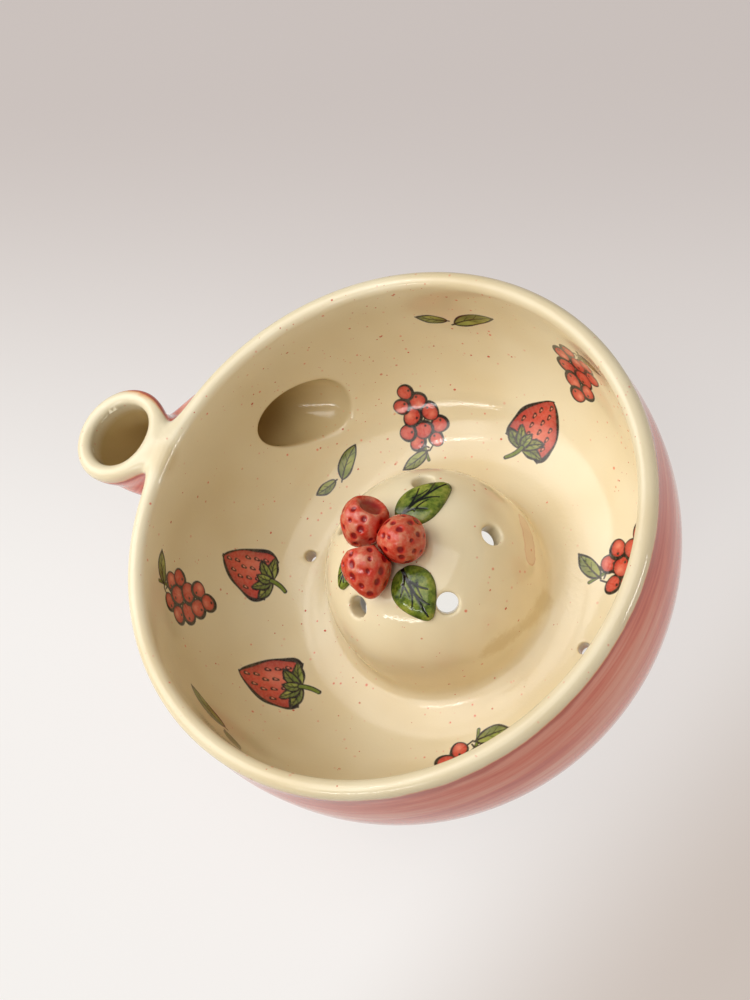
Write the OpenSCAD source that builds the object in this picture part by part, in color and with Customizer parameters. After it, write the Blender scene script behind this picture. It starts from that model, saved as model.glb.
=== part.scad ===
// Berry colander bowl: a thrown bowl with a pierced dome rising from its floor, a curved
// spout tube drawing from the middle of the wall, and three berries with leaves on the dome.
// The origin is the centre of the foot on the table, +Z is up, +X runs through the spout mouth.

/* [Bowl] */
// Diameter across the outside of the rim
rim_d = 190; // [170:1:220]
// Height from the table to the top of the rim
bowl_h = 85; // [78:1:100]
// Thickness of the wall
wall_t = 6.5; // [5.5:0.5:8]
// Thickness of the floor
floor_t = 6.5; // [5:0.5:8]
// How far the belly swells past the rim, on each side
belly_swell = 1.3; // [0:0.1:3]
// Depth below the rim at which the belly is widest
belly_depth = 23; // [16:1:30]
// Diameter of the flat underside, where the wall starts to turn up
underside_d = 116; // [112:1:124]
// Roundness of the turn from floor to wall, where 2 is an ellipse
turn_power = 2.2; // [2:0.1:2.6]

/* [Foot] */
// Diameter across the outside of the foot ring
foot_d = 106; // [100:1:110]
// Width of the foot ring where it joins the floor
foot_w = 8; // [6:0.5:10]
// Height of the foot ring
foot_h = 6.5; // [5:0.5:9]
// How far each side of the foot ring leans in towards its foot
foot_draft = 1.2; // [0.5:0.1:2]
// Radius of the rounded edges of the foot ring
foot_edge_r = 1.4; // [0.8:0.1:1.8]

/* [Dome] */
// Diameter of the dome where it rises from the floor
dome_d = 81; // [76:1:86]
// Height of the dome above the floor
dome_h = 47; // [40:1:50]
// Thickness of the dome
dome_t = 5.5; // [4.5:0.5:6.5]
// Roundness of the dome, where 2 is an ellipse
dome_power = 2.8; // [2.2:0.1:3.2]
// Radius of the hollow fillet where the dome rises from the floor
dome_fillet_r = 5.5; // [4:0.5:7]
// Diameter of the drain holes in the dome
drain_d = 7.5; // [6:0.5:9]
// Diameter of the circle that the drain holes stand about on
drain_circle_d = 56; // [50:1:60]
// Width of the softened edge round each drain hole
drain_edge = 0.8; // [0.4:0.1:1.2]

/* [Floor drains] */
// Diameter of the two small drains in the floor
floor_drain_d = 4.5; // [4:0.1:6]
// Distance of the floor drains from the middle
floor_drain_r = 60; // [58:0.5:62]

/* [Spout] */
// Gap between the rim and the lip of the mouth
lip_gap = 1.55; // [1:0.05:4]
// Bore of the spout
bore_d = 25.5; // [22:0.5:27]
// Thickness of the spout wall
spout_t = 3.8; // [3:0.1:4.4]
// Thickness of the rounded lip of the mouth
lip_t = 6.3; // [5.6:0.1:6.8]
// Length over which the lip thins into the spout
lip_run = 12; // [10:0.5:14]
// Angle by which the mouth leans outwards
mouth_lean = 3; // [0:0.5:5]
// Angle round the bowl from the mouth to the opening in the wall
entry_turn = 30; // [26:1:32]
// Depth of the middle of that opening below the rim
entry_depth = 46; // [42:1:47]
// Angle in plan between the bore and the radius where it passes the wall
entry_skew = 50; // [46:1:51]
// Fall of the bore where it passes the wall
entry_fall = 6; // [3:1:9]
// Length of the straight bore from the inner wall outwards
entry_run = 23; // [22:0.5:25]
// Reach of the curve's pull on the straight bore
entry_pull = 20; // [18:0.5:23]
// Reach of the curve's pull below the mouth
mouth_pull = 51; // [46:1:54]

/* [Web] */
// Radius of the fillets between the rim and the lip
web_fillet_r = 16; // [12:1:20]
// Height of the web that joins the lip to the rim
web_h = 8; // [6:0.5:10]
// Depth of the web's edge below the top of the rim
web_drop = 1.6; // [1:0.1:2.5]
// Depth of the saddle along the middle of the web
web_sag = 1.5; // [0.8:0.1:2]

/* [Berries] */
// Diameter of a berry
berry_d = 16.8; // [15:0.1:17]
// Length of a berry from stem end to tip
berry_l = 19.5; // [18:0.5:20]
// Depth of the hollow at the stem end
stem_hollow = 2.6; // [1.5:0.1:3.5]
// Width of one seed pit
seed_d = 2.1; // [1.6:0.1:2.6]
// Depth of one seed pit
seed_depth = 0.7; // [0.3:0.1:0.9]
// How far a berry is pressed down onto the dome
berry_press = 1.1; // [0.6:0.1:2]

/* [Leaves] */
// Width of the two large leaves
leaf_w = 16; // [12:0.5:18]
// Width of the small leaf
small_leaf_w = 9; // [7:0.5:10]
// Thickness of a leaf along its middle
leaf_t = 2.3; // [1.8:0.1:2.8]
// Thickness of a leaf at its stem and edge
leaf_edge_t = 1.1; // [0.8:0.1:1.4]
// Depth of the grooves that draw the veins
vein_depth = 0.45; // [0.2:0.05:0.6]

/* [Joints in the clay] */
// Gap left between pieces that are pressed together
seam = 0.12; // [0.08:0.01:0.2]

/* [Hidden] */

// Colours of the glaze
cream = "#F0E6C8";
rose_wash = "#CB7A70";
berry_red = "#DB4B36";
leaf_green = "#7F9132";

// Numbers of steps along curves
turn_steps = 14;
side_steps = 5;
round_steps = 8;
dome_steps = 22;
revolve_fn = 144;
hole_fn = 48;

// Radii and heights of the bowl
rim_r = rim_d / 2;
belly_r = rim_r + belly_swell;
belly_z = bowl_h - belly_depth;
underside_r = underside_d / 2;
turn_in_r = underside_r - wall_t;
floor_z = foot_h + floor_t;
rim_round_r = wall_t / 2;
rim_round_z = bowl_h - rim_round_r;

// Radii and heights of the dome
dome_r = dome_d / 2;
dome_seat_r = dome_r + dome_fillet_r;
dome_in_r = dome_r - dome_t;
dome_in_h = floor_z + dome_h - dome_t - foot_h;
// Each drain hole's angle round the dome and its share of the drain circle's radius, for holes
// punched by eye, and the angles of the drains in the floor
drain_places = [[-3, 1], [73, 0.96], [150, 0.98], [210, 1.11], [281, 0.93]];
floor_drain_azimuths = [5, 176];

// Outline of the foot ring
foot_r = foot_d / 2;
foot_in_r = foot_r - foot_w;

// Radii of the spout, and the distance of its mouth from the middle of the bowl
bore_r = bore_d / 2;
spout_r = bore_r + spout_t;
lip_r = bore_r + lip_t;
mouth_reach = rim_r + lip_gap + lip_r;
// Direction of the spout's axis at the mouth, and of the straight bore, both outwards
mouth_dir = [sin(mouth_lean), 0, cos(mouth_lean)];
entry_flat = entry_skew - entry_turn;
entry_dir = [cos(entry_fall) * cos(entry_flat), cos(entry_fall) * sin(entry_flat), sin(entry_fall)];
mouth_pt = [mouth_reach, 0, bowl_h];
entry_z = bowl_h - entry_depth;
entry_r = inner_r(entry_z);
entry_pt = [entry_r * cos(entry_turn), -entry_r * sin(entry_turn), entry_z];
bend_pt = entry_pt + entry_run * entry_dir;
// How far the bore's rounded end reaches into the bowl, as a share of the bore's radius
lead_in_share = 0.35;
// The part of the spout's run that is straight, as a share, the share by which its skin may start
// further back where the wall curves away, and the numbers of its steps
straight_share = 0.3;
back_share = 0.35;
spout_sides = 32;
spout_steps = 16;
lip_steps = 6;
find_steps = 18;
lip_round_r = lip_t / 2;
lip_base = mouth_pt - lip_round_r * mouth_dir;
pull_a = bend_pt + entry_pull * entry_dir;
pull_b = lip_base - mouth_pull * mouth_dir;
across = unit(cross(entry_dir, mouth_dir));

// Places of the berries, as shares of the dome's radius, and the way each stem end points
berry_place_shares = [[0.306, -0.016], [-0.109, 0.015], [0.072, 0.365]];
berry_stem_dirs = [[-0.33, -0.68, 0.6], [0.42, -0.25, -0.87], [0.46, -0.82, 0.33]];
// Taper of a berry towards its tip, and the spread of its stem hollow in degrees
berry_taper_share = 0.2;
hollow_spread = 30;
// Rows of seed pits: the angle of each row from the stem end, and its number of pits
seed_rows = [[48, 7], [72, 9], [97, 9], [122, 7], [147, 4]];
berry_sides = 52;
berry_rings = 26;

// Leaves: the stem and the tip of each, as shares of the dome's radius
upper_leaf_shares = [[0.1, -0.17], [-0.145, -0.655]];
lower_leaf_shares = [[-0.13, 0.21], [-0.49, 0.51]];
left_leaf_shares = [[0.36, 0.2], [0.395, 0.53]];
leaf_lengthwise = 22;
leaf_crosswise = 14;
// Width of a leaf at its stem and its tip as a share of its full width
leaf_end_share = 0.12;
// Where a leaf is widest, how blunt its sides are, and how fast it thickens from its stem
leaf_belly_power = 0.8;
leaf_side_power = 0.75;
leaf_rise = 4;
leaf_tip_share = 1.1;
// Width of a vein groove as a share of the leaf's half width
vein_share = 0.11;
// Places along the leaf where side veins leave the middle one, as shares of its length
side_vein_shares = [0.18, 0.4, 0.62];
// How far a side vein runs forward over half the leaf's width, as a share of its length
vein_slant_share = 0.24;

// Vector sums
function unit(v) = v / norm(v);
function mid(a, b) = (a + b) / 2;
function power_arc(from, span, share, power) = from + span * pow(share, 2 / power);

// Outline of the bowl: the outer and inner turn, the sides above the belly, and the round rim
function outer_turn(a) = [power_arc(underside_r, belly_r - underside_r, sin(a), turn_power),
    power_arc(belly_z, foot_h - belly_z, cos(a), turn_power)];
function inner_turn(a) = [power_arc(turn_in_r, belly_r - wall_t - turn_in_r, sin(a), turn_power),
    power_arc(belly_z, floor_z - belly_z, cos(a), turn_power)];
function side_r(z) = rim_r + belly_swell * (1 - pow((z - belly_z) / (rim_round_z - belly_z), 2));
function side_z(i) = belly_z + (rim_round_z - belly_z) * i / side_steps;
function outer_line(grow) = concat(
    [for (i = [0 : turn_steps]) outer_turn(90 * i / turn_steps) + [grow, 0]],
    [for (i = [1 : side_steps - 1]) [side_r(side_z(i)) + grow, side_z(i)]]);
function rim_line(grow, to) = [for (i = [0 : round_steps])
    let (a = to * i / round_steps)
    [rim_r - rim_round_r + (rim_round_r + grow) * cos(a), rim_round_z + (rim_round_r + grow) * sin(a)]];
function inner_line() = concat(
    [for (i = [side_steps - 1 : -1 : 1]) [side_r(side_z(i)) - wall_t, side_z(i)]],
    [for (i = [turn_steps : -1 : 0]) inner_turn(90 * i / turn_steps)]);
// Radius of the inner wall at a height below the belly
function inner_r(z) = turn_in_r + (belly_r - wall_t - turn_in_r)
    * pow(1 - pow((belly_z - z) / (belly_z - floor_z), turn_power), 1 / turn_power);

// Height of the dome at a distance from the middle, and its slope there
function dome_z(r) = floor_z + dome_h * pow(max(0, 1 - pow(r / dome_r, dome_power)), 1 / dome_power);
function dome_tilt(r) = atan(dome_h / dome_r * pow(r / dome_r, dome_power - 1)
    * pow(1 - pow(r / dome_r, dome_power), 1 / dome_power - 1));
// Point at a height over the dome, square to its surface
function over_dome(p, h) = let (r = max(norm(p), seam), tilt = dome_tilt(r))
    [p.x * (1 + h * sin(tilt) / r), p.y * (1 + h * sin(tilt) / r), dome_z(r) + h * cos(tilt)];
function dome_line(r, z, h, power, from, to) = [for (i = [0 : dome_steps])
    let (a = from + (to - from) * i / dome_steps)
    [r * pow(cos(a), 2 / power), z + h * pow(sin(a), 2 / power)]];

// Triangles between the rings of points of a swept or lofted skin
function ring_faces(rings, sides, closed) = [for (i = [0 : rings - (closed ? 1 : 2)], j = [0 : sides - 1])
    let (a = i * sides, b = ((i + 1) % rings) * sides, k = (j + 1) % sides)
    each [[a + j, b + j, b + k], [a + j, b + k, a + k]]];

// Radius of the outer wall at a height
function outer_r(z) = z > belly_z ? side_r(z) : underside_r + (belly_r - underside_r)
    * pow(1 - pow((belly_z - max(z, foot_h)) / (belly_z - foot_h), turn_power), 1 / turn_power);

// The spout's middle line at a share of its run: straight from the wall, then a curve to the lip
function bend(t) = pow(1 - t, 3) * bend_pt + 3 * t * pow(1 - t, 2) * pull_a
    + 3 * t * t * (1 - t) * pull_b + t * t * t * lip_base;
function bend_dir(t) = unit(pow(1 - t, 2) * (pull_a - bend_pt) + 2 * t * (1 - t) * (pull_b - pull_a)
    + t * t * (lip_base - pull_b));
function spout_at(q) = q < straight_share ? entry_pt + entry_run * q / straight_share * entry_dir
    : bend((q - straight_share) / (1 - straight_share));
function spout_dir(q) = q < straight_share ? entry_dir : bend_dir((q - straight_share) / (1 - straight_share));
function around(at, dir, r, turn) = let (u = unit(cross(across, dir)), v = cross(dir, u))
    at + r * (cos(turn) * u + sin(turn) * v);
// Radius of the spout's skin, where the outer one swells towards the lip
function skin_r(r, q) = r == bore_r ? r
    : r + (lip_r - r) * pow(max(0, 1 - norm(lip_base - spout_at(q)) / (lip_run - lip_round_r)), 2);
function skin_pt(r, q, turn) = around(spout_at(q), spout_dir(q), skin_r(r, q), turn);
function out_of_wall(p) = norm([p.x, p.y]) - outer_r(p.z) - seam;
// Share of the run at which one line of the skin leaves the wall
function leave(r, turn, low = -back_share, high = 2 * straight_share, n = find_steps) = n == 0 ? high
    : let (q = (low + high) / 2) out_of_wall(skin_pt(r, q, turn)) < 0
        ? leave(r, turn, q, high, n - 1) : leave(r, turn, low, q, n - 1);
// A point that the wall would cover is pressed out to the wall's surface
function press_out(p) = let (in = min(0, out_of_wall(p)), d = norm([p.x, p.y]))
    [p.x * (1 - in / d), p.y * (1 - in / d), p.z];
spout_turns = [for (j = [0 : spout_sides - 1]) 360 * j / spout_sides];
function skin_ring(r, starts, i) = [for (j = [0 : spout_sides - 1])
    let (q = starts[j] + (1 - starts[j]) * i / spout_steps) press_out(skin_pt(r, q, spout_turns[j]))];

// Berries: middle of each one, seated on the dome
function berry_middle(i) = let (p = berry_place_shares[i] * dome_r, r = norm(p))
    [p.x, p.y, dome_z(r) + berry_d / 2 - berry_press];
function seed_dent(a, turn, r) = let (reach = seed_d / 2)
    seed_depth * min(1, sum_list([for (row = seed_rows) if (abs(a - row[0]) * berry_l * PI / 360 < 2 * reach)
        let (step = 360 / row[1], off = turn - row[0] * 2, near = off - step * round(off / step),
            along = (a - row[0]) * berry_l * PI / 360, round_it = near * r * PI / 180)
        exp(-(along * along + round_it * round_it) / (reach * reach))]));
function sum_list(list, i = 0) = i < len(list) ? list[i] + sum_list(list, i + 1) : 0;
function berry_skin(a, turn) = let (
        wide = berry_d / 2 * sin(a) * (1 + berry_taper_share * cos(a)),
        high = berry_l / 2 * cos(a) - stem_hollow * exp(-pow(a / hollow_spread, 2)),
        dent = seed_dent(a, turn, wide), slant = atan2(high, wide))
    [(wide - dent * cos(slant)) * cos(turn), (wide - dent * cos(slant)) * sin(turn), high - dent * sin(slant)];
// A point pressed back to the plane halfway between two berries
function press_back(p, own, other) = let (n = unit(other - own), over = (p - mid(own, other)) * n + seam / 2)
    p - max(0, over) * n;
function press_all(p, i, k = 0) = k == len(berry_place_shares) ? p
    : press_all(k == i ? p : press_back(p, berry_middle(i), berry_middle(k)), i, k + 1);
function seat(p) = [p.x, p.y, max(p.z, dome_z(norm([p.x, p.y])) + seam)];

module bowl_solid() {
    rotate_extrude($fn = revolve_fn)
        polygon(concat([[dome_seat_r, foot_h]], outer_line(0), rim_line(0, 180), inner_line(), [[dome_seat_r, floor_z]]));
}

// Everything inside the outer surface of the bowl, which other pieces are cut back to
module bowl_keep_clear() {
    rotate_extrude($fn = revolve_fn)
        polygon(concat([[0, foot_h]], outer_line(seam), rim_line(seam, 90), [[0, bowl_h + seam]]));
}

module along(at, dir) {
    translate(at)
        rotate([0, acos(dir.z / norm(dir)), atan2(dir.y, dir.x)])
            children();
}

module entry_bore() {
    start = entry_pt - lead_in_share * bore_r * entry_dir;
    along(start, entry_dir) {
        cylinder(r = bore_r, h = norm(bend_pt + bore_r * entry_dir - start), $fn = hole_fn);
        sphere(r = bore_r, $fn = hole_fn);
    }
}

module bowl_body() {
    color(cream)
        difference() {
            bowl_solid();
            entry_bore();
            for (turn = floor_drain_azimuths)
                rotate([0, 0, turn])
                    translate([floor_drain_r, 0, 0])
                        cylinder(d = floor_drain_d, h = bowl_h, $fn = hole_fn);
        }
}

// Arc of a rounded edge from one angle to another
function edge_arc(c, r, from, to) = [for (i = [0 : round_steps])
    let (a = from + (to - from) * i / round_steps) c + r * [cos(a), sin(a)]];

module foot_ring() {
    outer = foot_r - foot_draft;
    inner = foot_in_r + foot_draft;
    color(cream)
        rotate_extrude($fn = revolve_fn)
            polygon(concat(
                [[foot_in_r, foot_h]],
                edge_arc([inner + foot_edge_r, foot_edge_r], foot_edge_r, 180, 270),
                edge_arc([outer - foot_edge_r, foot_edge_r], foot_edge_r, 270, 360),
                [[foot_r, foot_h]]));
}

// One drain hole, square to the dome, with its outer edge softened
module drain_hole(place) {
    r = place[1] * drain_circle_d / 2;
    rotate([0, 0, place[0]])
        translate([r, 0, dome_z(r)])
            rotate([0, dome_tilt(r), 0]) {
                translate([0, 0, -2 * dome_t])
                    cylinder(d = drain_d, h = 4 * dome_t, $fn = hole_fn);
                translate([0, 0, -drain_edge])
                    cylinder(d1 = drain_d, d2 = drain_d + 4 * drain_edge, h = 2 * drain_edge, $fn = hole_fn);
            }
}

module centre_dome() {
    fillet = [for (i = [0 : round_steps]) let (a = 270 - 90 * i / round_steps)
        [dome_seat_r, floor_z + dome_fillet_r] + dome_fillet_r * [cos(a), sin(a)]];
    // The dome's own curve starts where the fillet ends
    start = asin(pow(dome_fillet_r / dome_h, dome_power / 2));
    color(cream)
        difference() {
            rotate_extrude($fn = revolve_fn)
                polygon(concat(
                    [[dome_seat_r, foot_h]],
                    fillet,
                    dome_line(dome_r, floor_z, dome_h, dome_power, start, 90),
                    dome_line(dome_in_r, foot_h, dome_in_h, dome_power, 90, 0)));
            for (place = drain_places)
                drain_hole(place);
        }
}

// The spout is one skin: up the outside from the wall, over the lip and down the bore
module spout_tube() {
    outer_starts = [for (turn = spout_turns) leave(spout_r, turn)];
    bore_starts = [for (turn = spout_turns) leave(bore_r, turn)];
    rings = concat(
        [for (i = [0 : spout_steps]) skin_ring(spout_r, outer_starts, i)],
        [for (i = [1 : lip_steps - 1]) let (a = 180 * i / lip_steps)
            [for (turn = spout_turns) around(lip_base + lip_round_r * sin(a) * mouth_dir, mouth_dir,
                bore_r + lip_round_r * (1 + cos(a)), turn)]],
        [for (i = [spout_steps : -1 : 0]) skin_ring(bore_r, bore_starts, i)]);
    color(rose_wash)
        polyhedron([for (ring = rings) each ring], ring_faces(len(rings), spout_sides, true), convexity = 6);
}

// Middle of the fillet between the rim and the lip, on the side given by 1 or -1
function fillet_middle(side) = let (a = rim_r + web_fillet_r, b = lip_r + web_fillet_r,
        x = (a * a - b * b + mouth_reach * mouth_reach) / (2 * mouth_reach))
    [x, side * sqrt(a * a - x * x)];

module rim_web() {
    near = fillet_middle(-1);
    far = fillet_middle(1);
    color(cream)
        difference() {
            translate([0, 0, bowl_h - web_drop - web_h])
                linear_extrude(web_h)
                    difference() {
                        polygon([[0, 0], near, [mouth_reach, 0], far]);
                        for (c = [near, far])
                            translate(c)
                                circle(r = web_fillet_r, $fn = revolve_fn);
                    }
            // The saddle between the rim and the lip
            translate([mid(rim_r, mouth_reach - lip_r), 0, bowl_h - web_drop - web_sag + lip_r])
                rotate([90, 0, 0])
                    cylinder(r = lip_r, h = 4 * web_fillet_r, center = true, $fn = revolve_fn);
            bowl_keep_clear();
            along(mouth_pt, mouth_dir)
                cylinder(r = lip_r + seam, h = 4 * web_h, center = true, $fn = revolve_fn);
        }
}

// A berry: its skin is bent to its place, pressed against its neighbours and seated on the dome
module berry(i) {
    c = berry_middle(i);
    stem = unit(berry_stem_dirs[i]);
    side = unit(cross(stem, [stem.y, stem.z, stem.x]));
    fore = cross(side, stem);
    skin = [for (k = [1 : berry_rings - 1], j = [0 : berry_sides - 1])
        berry_skin(180 * k / berry_rings, 360 * j / berry_sides)];
    local = concat(skin, [berry_skin(0, 0), berry_skin(180, 0)]);
    points = [for (q = local) seat(press_all(c + q.x * side + q.y * fore + q.z * stem, i))];
    last = (berry_rings - 2) * berry_sides;
    top = (berry_rings - 1) * berry_sides;
    caps = [for (j = [0 : berry_sides - 1]) let (k = (j + 1) % berry_sides)
        each [[top, j, k], [top + 1, last + k, last + j]]];
    color(berry_red)
        polyhedron(points, concat(ring_faces(berry_rings - 1, berry_sides, false), caps), convexity = 4);
}

module berry_left() berry(0);
module berry_right() berry(1);
module berry_front() berry(2);

// Half width of a leaf along its length, as a share of its full half width
function leaf_outline(u) = leaf_end_share
    + (1 - leaf_end_share) * pow(sin(180 * pow(u, leaf_belly_power)), leaf_side_power);
// Share of a leaf's full thickness along its length and across it, thin at the stem and the edges
function leaf_body(u, v) = (1 - v * v) * min(1, leaf_rise * u * (leaf_tip_share - u));
// Depth of the vein grooves at a place on the leaf
function vein_groove(u, v) = vein_depth * max(concat(
    [exp(-pow(v / vein_share, 2))],
    [for (s = side_vein_shares) exp(-pow((u - s - vein_slant_share * abs(v)) / (vein_share / 2), 2))]));

// A leaf laid over the dome, from its stem to its tip
module leaf(ends, width) {
    stem = ends[0] * dome_r;
    run = ends[1] * dome_r - stem;
    side = unit([-run.y, run.x]) * width / 2;
    us = [for (i = [0 : leaf_lengthwise]) i / leaf_lengthwise];
    vs = [for (j = [0 : leaf_crosswise]) 2 * j / leaf_crosswise - 1];
    plan = [for (u = us, v = vs) stem + u * run + v * leaf_outline(u) * side];
    under = [for (p = plan) over_dome(p, seam)];
    over = [for (i = [0 : len(plan) - 1])
        let (u = us[floor(i / len(vs))], v = vs[i % len(vs)],
            h = leaf_edge_t + (leaf_t - leaf_edge_t) * leaf_body(u, v))
        over_dome(plan[i], seam + h - vein_groove(u, v) * min(1, leaf_rise * u))];
    n = len(vs);
    m = len(plan);
    cells = [for (i = [0 : len(us) - 2], j = [0 : n - 2]) i * n + j];
    edge = concat([for (j = [0 : n - 2]) j], [for (i = [0 : len(us) - 2]) i * n + n - 1],
        [for (j = [n - 1 : -1 : 1]) m - n + j], [for (i = [len(us) - 1 : -1 : 1]) i * n]);
    color(leaf_green)
        polyhedron(concat(under, over), concat(
            [for (c = cells) each [[c, c + n, c + n + 1], [c, c + n + 1, c + 1]]],
            [for (c = cells) each [[m + c, m + c + n + 1, m + c + n], [m + c, m + c + 1, m + c + n + 1]]],
            [for (e = [0 : len(edge) - 1]) let (a = edge[e], b = edge[(e + 1) % len(edge)])
                each [[a, b, m + b], [a, m + b, m + a]]]), convexity = 6);
}

module leaf_upper() leaf(upper_leaf_shares, leaf_w);
module leaf_lower() leaf(lower_leaf_shares, leaf_w);
module leaf_left() leaf(left_leaf_shares, small_leaf_w);

bowl_body();
foot_ring();
centre_dome();
spout_tube();
rim_web();
berry_left();
berry_right();
berry_front();
leaf_upper();
leaf_lower();
leaf_left();
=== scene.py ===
"""Dresses the berry colander bowl: glazed clay, painted sprigs, sculpted berries and leaves.

The forms below are measured in millimetres in the row frame: the origin is the middle of the foot
on the table, +Z is up and +X runs through the spout mouth. Meshes are made in metres.
"""

import logging
import math
from collections.abc import Callable, Sequence
from dataclasses import dataclass, field
from enum import Enum

import bpy
import numpy as np
from mathutils import Matrix, Vector


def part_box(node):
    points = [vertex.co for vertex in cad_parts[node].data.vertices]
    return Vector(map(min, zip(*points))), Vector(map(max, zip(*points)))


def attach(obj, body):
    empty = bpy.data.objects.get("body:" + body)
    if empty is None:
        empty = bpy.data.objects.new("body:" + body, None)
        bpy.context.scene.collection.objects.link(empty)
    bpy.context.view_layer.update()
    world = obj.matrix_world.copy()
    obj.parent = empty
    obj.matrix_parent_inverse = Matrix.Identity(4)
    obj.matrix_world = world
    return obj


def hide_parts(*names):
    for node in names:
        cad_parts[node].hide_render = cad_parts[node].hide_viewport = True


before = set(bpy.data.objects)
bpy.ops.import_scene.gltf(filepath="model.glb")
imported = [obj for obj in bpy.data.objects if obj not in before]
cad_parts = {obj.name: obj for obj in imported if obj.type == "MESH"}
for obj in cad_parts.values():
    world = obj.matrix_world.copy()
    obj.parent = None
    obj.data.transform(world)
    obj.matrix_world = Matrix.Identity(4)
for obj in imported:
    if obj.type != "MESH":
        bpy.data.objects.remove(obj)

Array = np.ndarray
Field = Callable[[Array], Array]
Place = tuple[float, float]
Point = tuple[float, float, float]
Colour = tuple[float, float, float, float]
Object = bpy.types.Object
Material = bpy.types.Material
Socket = bpy.types.NodeSocket

log = logging.getLogger("berry_bowl")

MM = 0.001
BODY = "root"
FAR = 1e3


class Slot(Enum):
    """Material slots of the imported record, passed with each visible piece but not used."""

    CREAM = "cream_glaze"
    BERRY = "berry_glaze"
    LEAF = "leaf_glaze"


class Motif(Enum):
    """Painted motifs on the glaze."""

    CURRANTS = "currants"
    STRAWBERRY = "strawberry"
    LEAF_PAIR = "leaf_pair"


# Each berry: its node, its place in shares of the dome's radius, where its stem end points, and its taper.
BERRIES = (("berry_left", (0.306, -0.016), (-0.33, -0.68, 0.6), 0.24),
           ("berry_right", (-0.109, 0.015), (0.42, -0.25, -0.87), 0.2),
           ("berry_front", (0.072, 0.365), (0.46, -0.82, 0.33), 0.3))
# Each leaf: its node, its stem and its tip in shares of the dome's radius, and its width.
LEAVES = (("leaf_upper", (0.1, -0.17), (-0.145, -0.655), 16.0),
          ("leaf_lower", (-0.13, 0.21), (-0.49, 0.51), 16.0),
          ("leaf_left", (0.36, 0.2), (0.395, 0.53), 9.0))
# Each painted motif: its kind, its turn round the bowl in degrees, its way from the axis along the
# inner profile, its lean in degrees, and its size.
LAYOUT = ((Motif.CURRANTS, 30, 112, 4, 1.2), (Motif.STRAWBERRY, 52, 74, 150, 1.25),
          (Motif.LEAF_PAIR, 66, 114, 12, 1.2), (Motif.CURRANTS, 100, 110, -8, 1.2),
          (Motif.CURRANTS, 122, 74, 165, 1.2), (Motif.LEAF_PAIR, 136, 108, -20, 1.1),
          (Motif.STRAWBERRY, 160, 78, 190, 1.25), (Motif.STRAWBERRY, 176, 114, 6, 1.15),
          (Motif.CURRANTS, 205, 73, 200, 1.2), (Motif.LEAF_PAIR, 214, 110, 30, 1.1),
          (Motif.CURRANTS, 250, 108, -10, 1.2), (Motif.STRAWBERRY, 262, 70, 160, 1.2),
          (Motif.LEAF_PAIR, 283, 116, 10, 1.15), (Motif.CURRANTS, 302, 72, 185, 1.1),
          (Motif.STRAWBERRY, 16, 80, 170, 1.15), (Motif.LEAF_PAIR, 335, 68, 20, 0.95))


def node_box(name: str) -> tuple[Array, Array]:
    """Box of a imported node.

    Args:
        name: the node's name.

    Returns:
        Its lowest and highest corner in millimetres.
    """
    low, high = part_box(name)
    return np.array(low) / MM, np.array(high) / MM


def unit(v: Array) -> Array:
    """Vectors of length one along the last axis of v."""
    return v / np.maximum(np.linalg.norm(v, axis=-1, keepdims=True), 1e-12)


def soft_min(a: Array, b: Array, blend: Array | float) -> Array:
    """Smaller of two distances, rounded where they are within blend of each other."""
    near = np.maximum(blend - np.abs(a - b), 0) / blend
    return np.minimum(a, b) - near**3 * blend / 6


def soft_max(a: Array, b: Array, blend: Array | float) -> Array:
    """Larger of two distances, rounded where they are within blend of each other."""
    return -soft_min(-a, -b, blend)


def smooth_step(x: Array, low: Array | float, high: Array | float) -> Array:
    """Goes smoothly from 0 at low to 1 at high."""
    t = np.clip((x - low) / (high - low), 0, 1)
    return t * t * (3 - 2 * t)


def fade(x: Array, low: Array | float, high: Array | float) -> Array:
    """Goes smoothly from 1 at low to 0 at high."""
    return 1 - smooth_step(x, low, high)


def superellipse_gap(across: Array, up: Array, wide: float, high: float, power: float) -> Array:
    """Distance from a quarter superellipse whose middle is the origin, nearly true close to it.

    Args:
        across: distances from the middle along the half width.
        up: distances from the middle along the half height.
        wide: half width.
        high: half height.
        power: roundness, where 2 is an ellipse.

    Returns:
        Signed distances, negative inside.
    """
    a = np.maximum(across, 0) / wide
    b = np.maximum(up, 0) / high
    size = np.maximum((a**power + b**power) ** (1 / power), 1e-3)
    slope = np.hypot((a / size) ** (power - 1) / wide, (b / size) ** (power - 1) / high)
    return (size - 1) / np.maximum(slope, 1 / (2 * max(wide, high)))


def rgb(red: int, green: int, blue: int) -> Colour:
    """A colour given as it looks on a screen, as the linear colour that a shader takes.

    Args:
        red: its red, from 0 to 255.
        green: its green.
        blue: its blue.

    Returns:
        Its linear red, green, blue and alpha, from 0 to 1.
    """
    shares = (v / 255 for v in (red, green, blue))
    linear = (v / 12.92 if v < 0.04045 else ((v + 0.055) / 1.055) ** 2.4 for v in shares)
    return *linear, 1.0


def ink(red: int, green: int, blue: int) -> Array:
    """A linear colour without its alpha, from how it looks on a screen."""
    return np.array(rgb(red, green, blue)[:3])


def place_object(name: str, data: bpy.types.ID) -> Object:
    """Makes an object of a mesh, lamp or camera, and links it into the scene.

    Args:
        name: the object's name.
        data: its mesh, lamp or camera.

    Returns:
        The linked object.
    """
    made = bpy.data.objects.new(name, data)
    bpy.context.scene.collection.objects.link(made)
    return made


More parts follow.
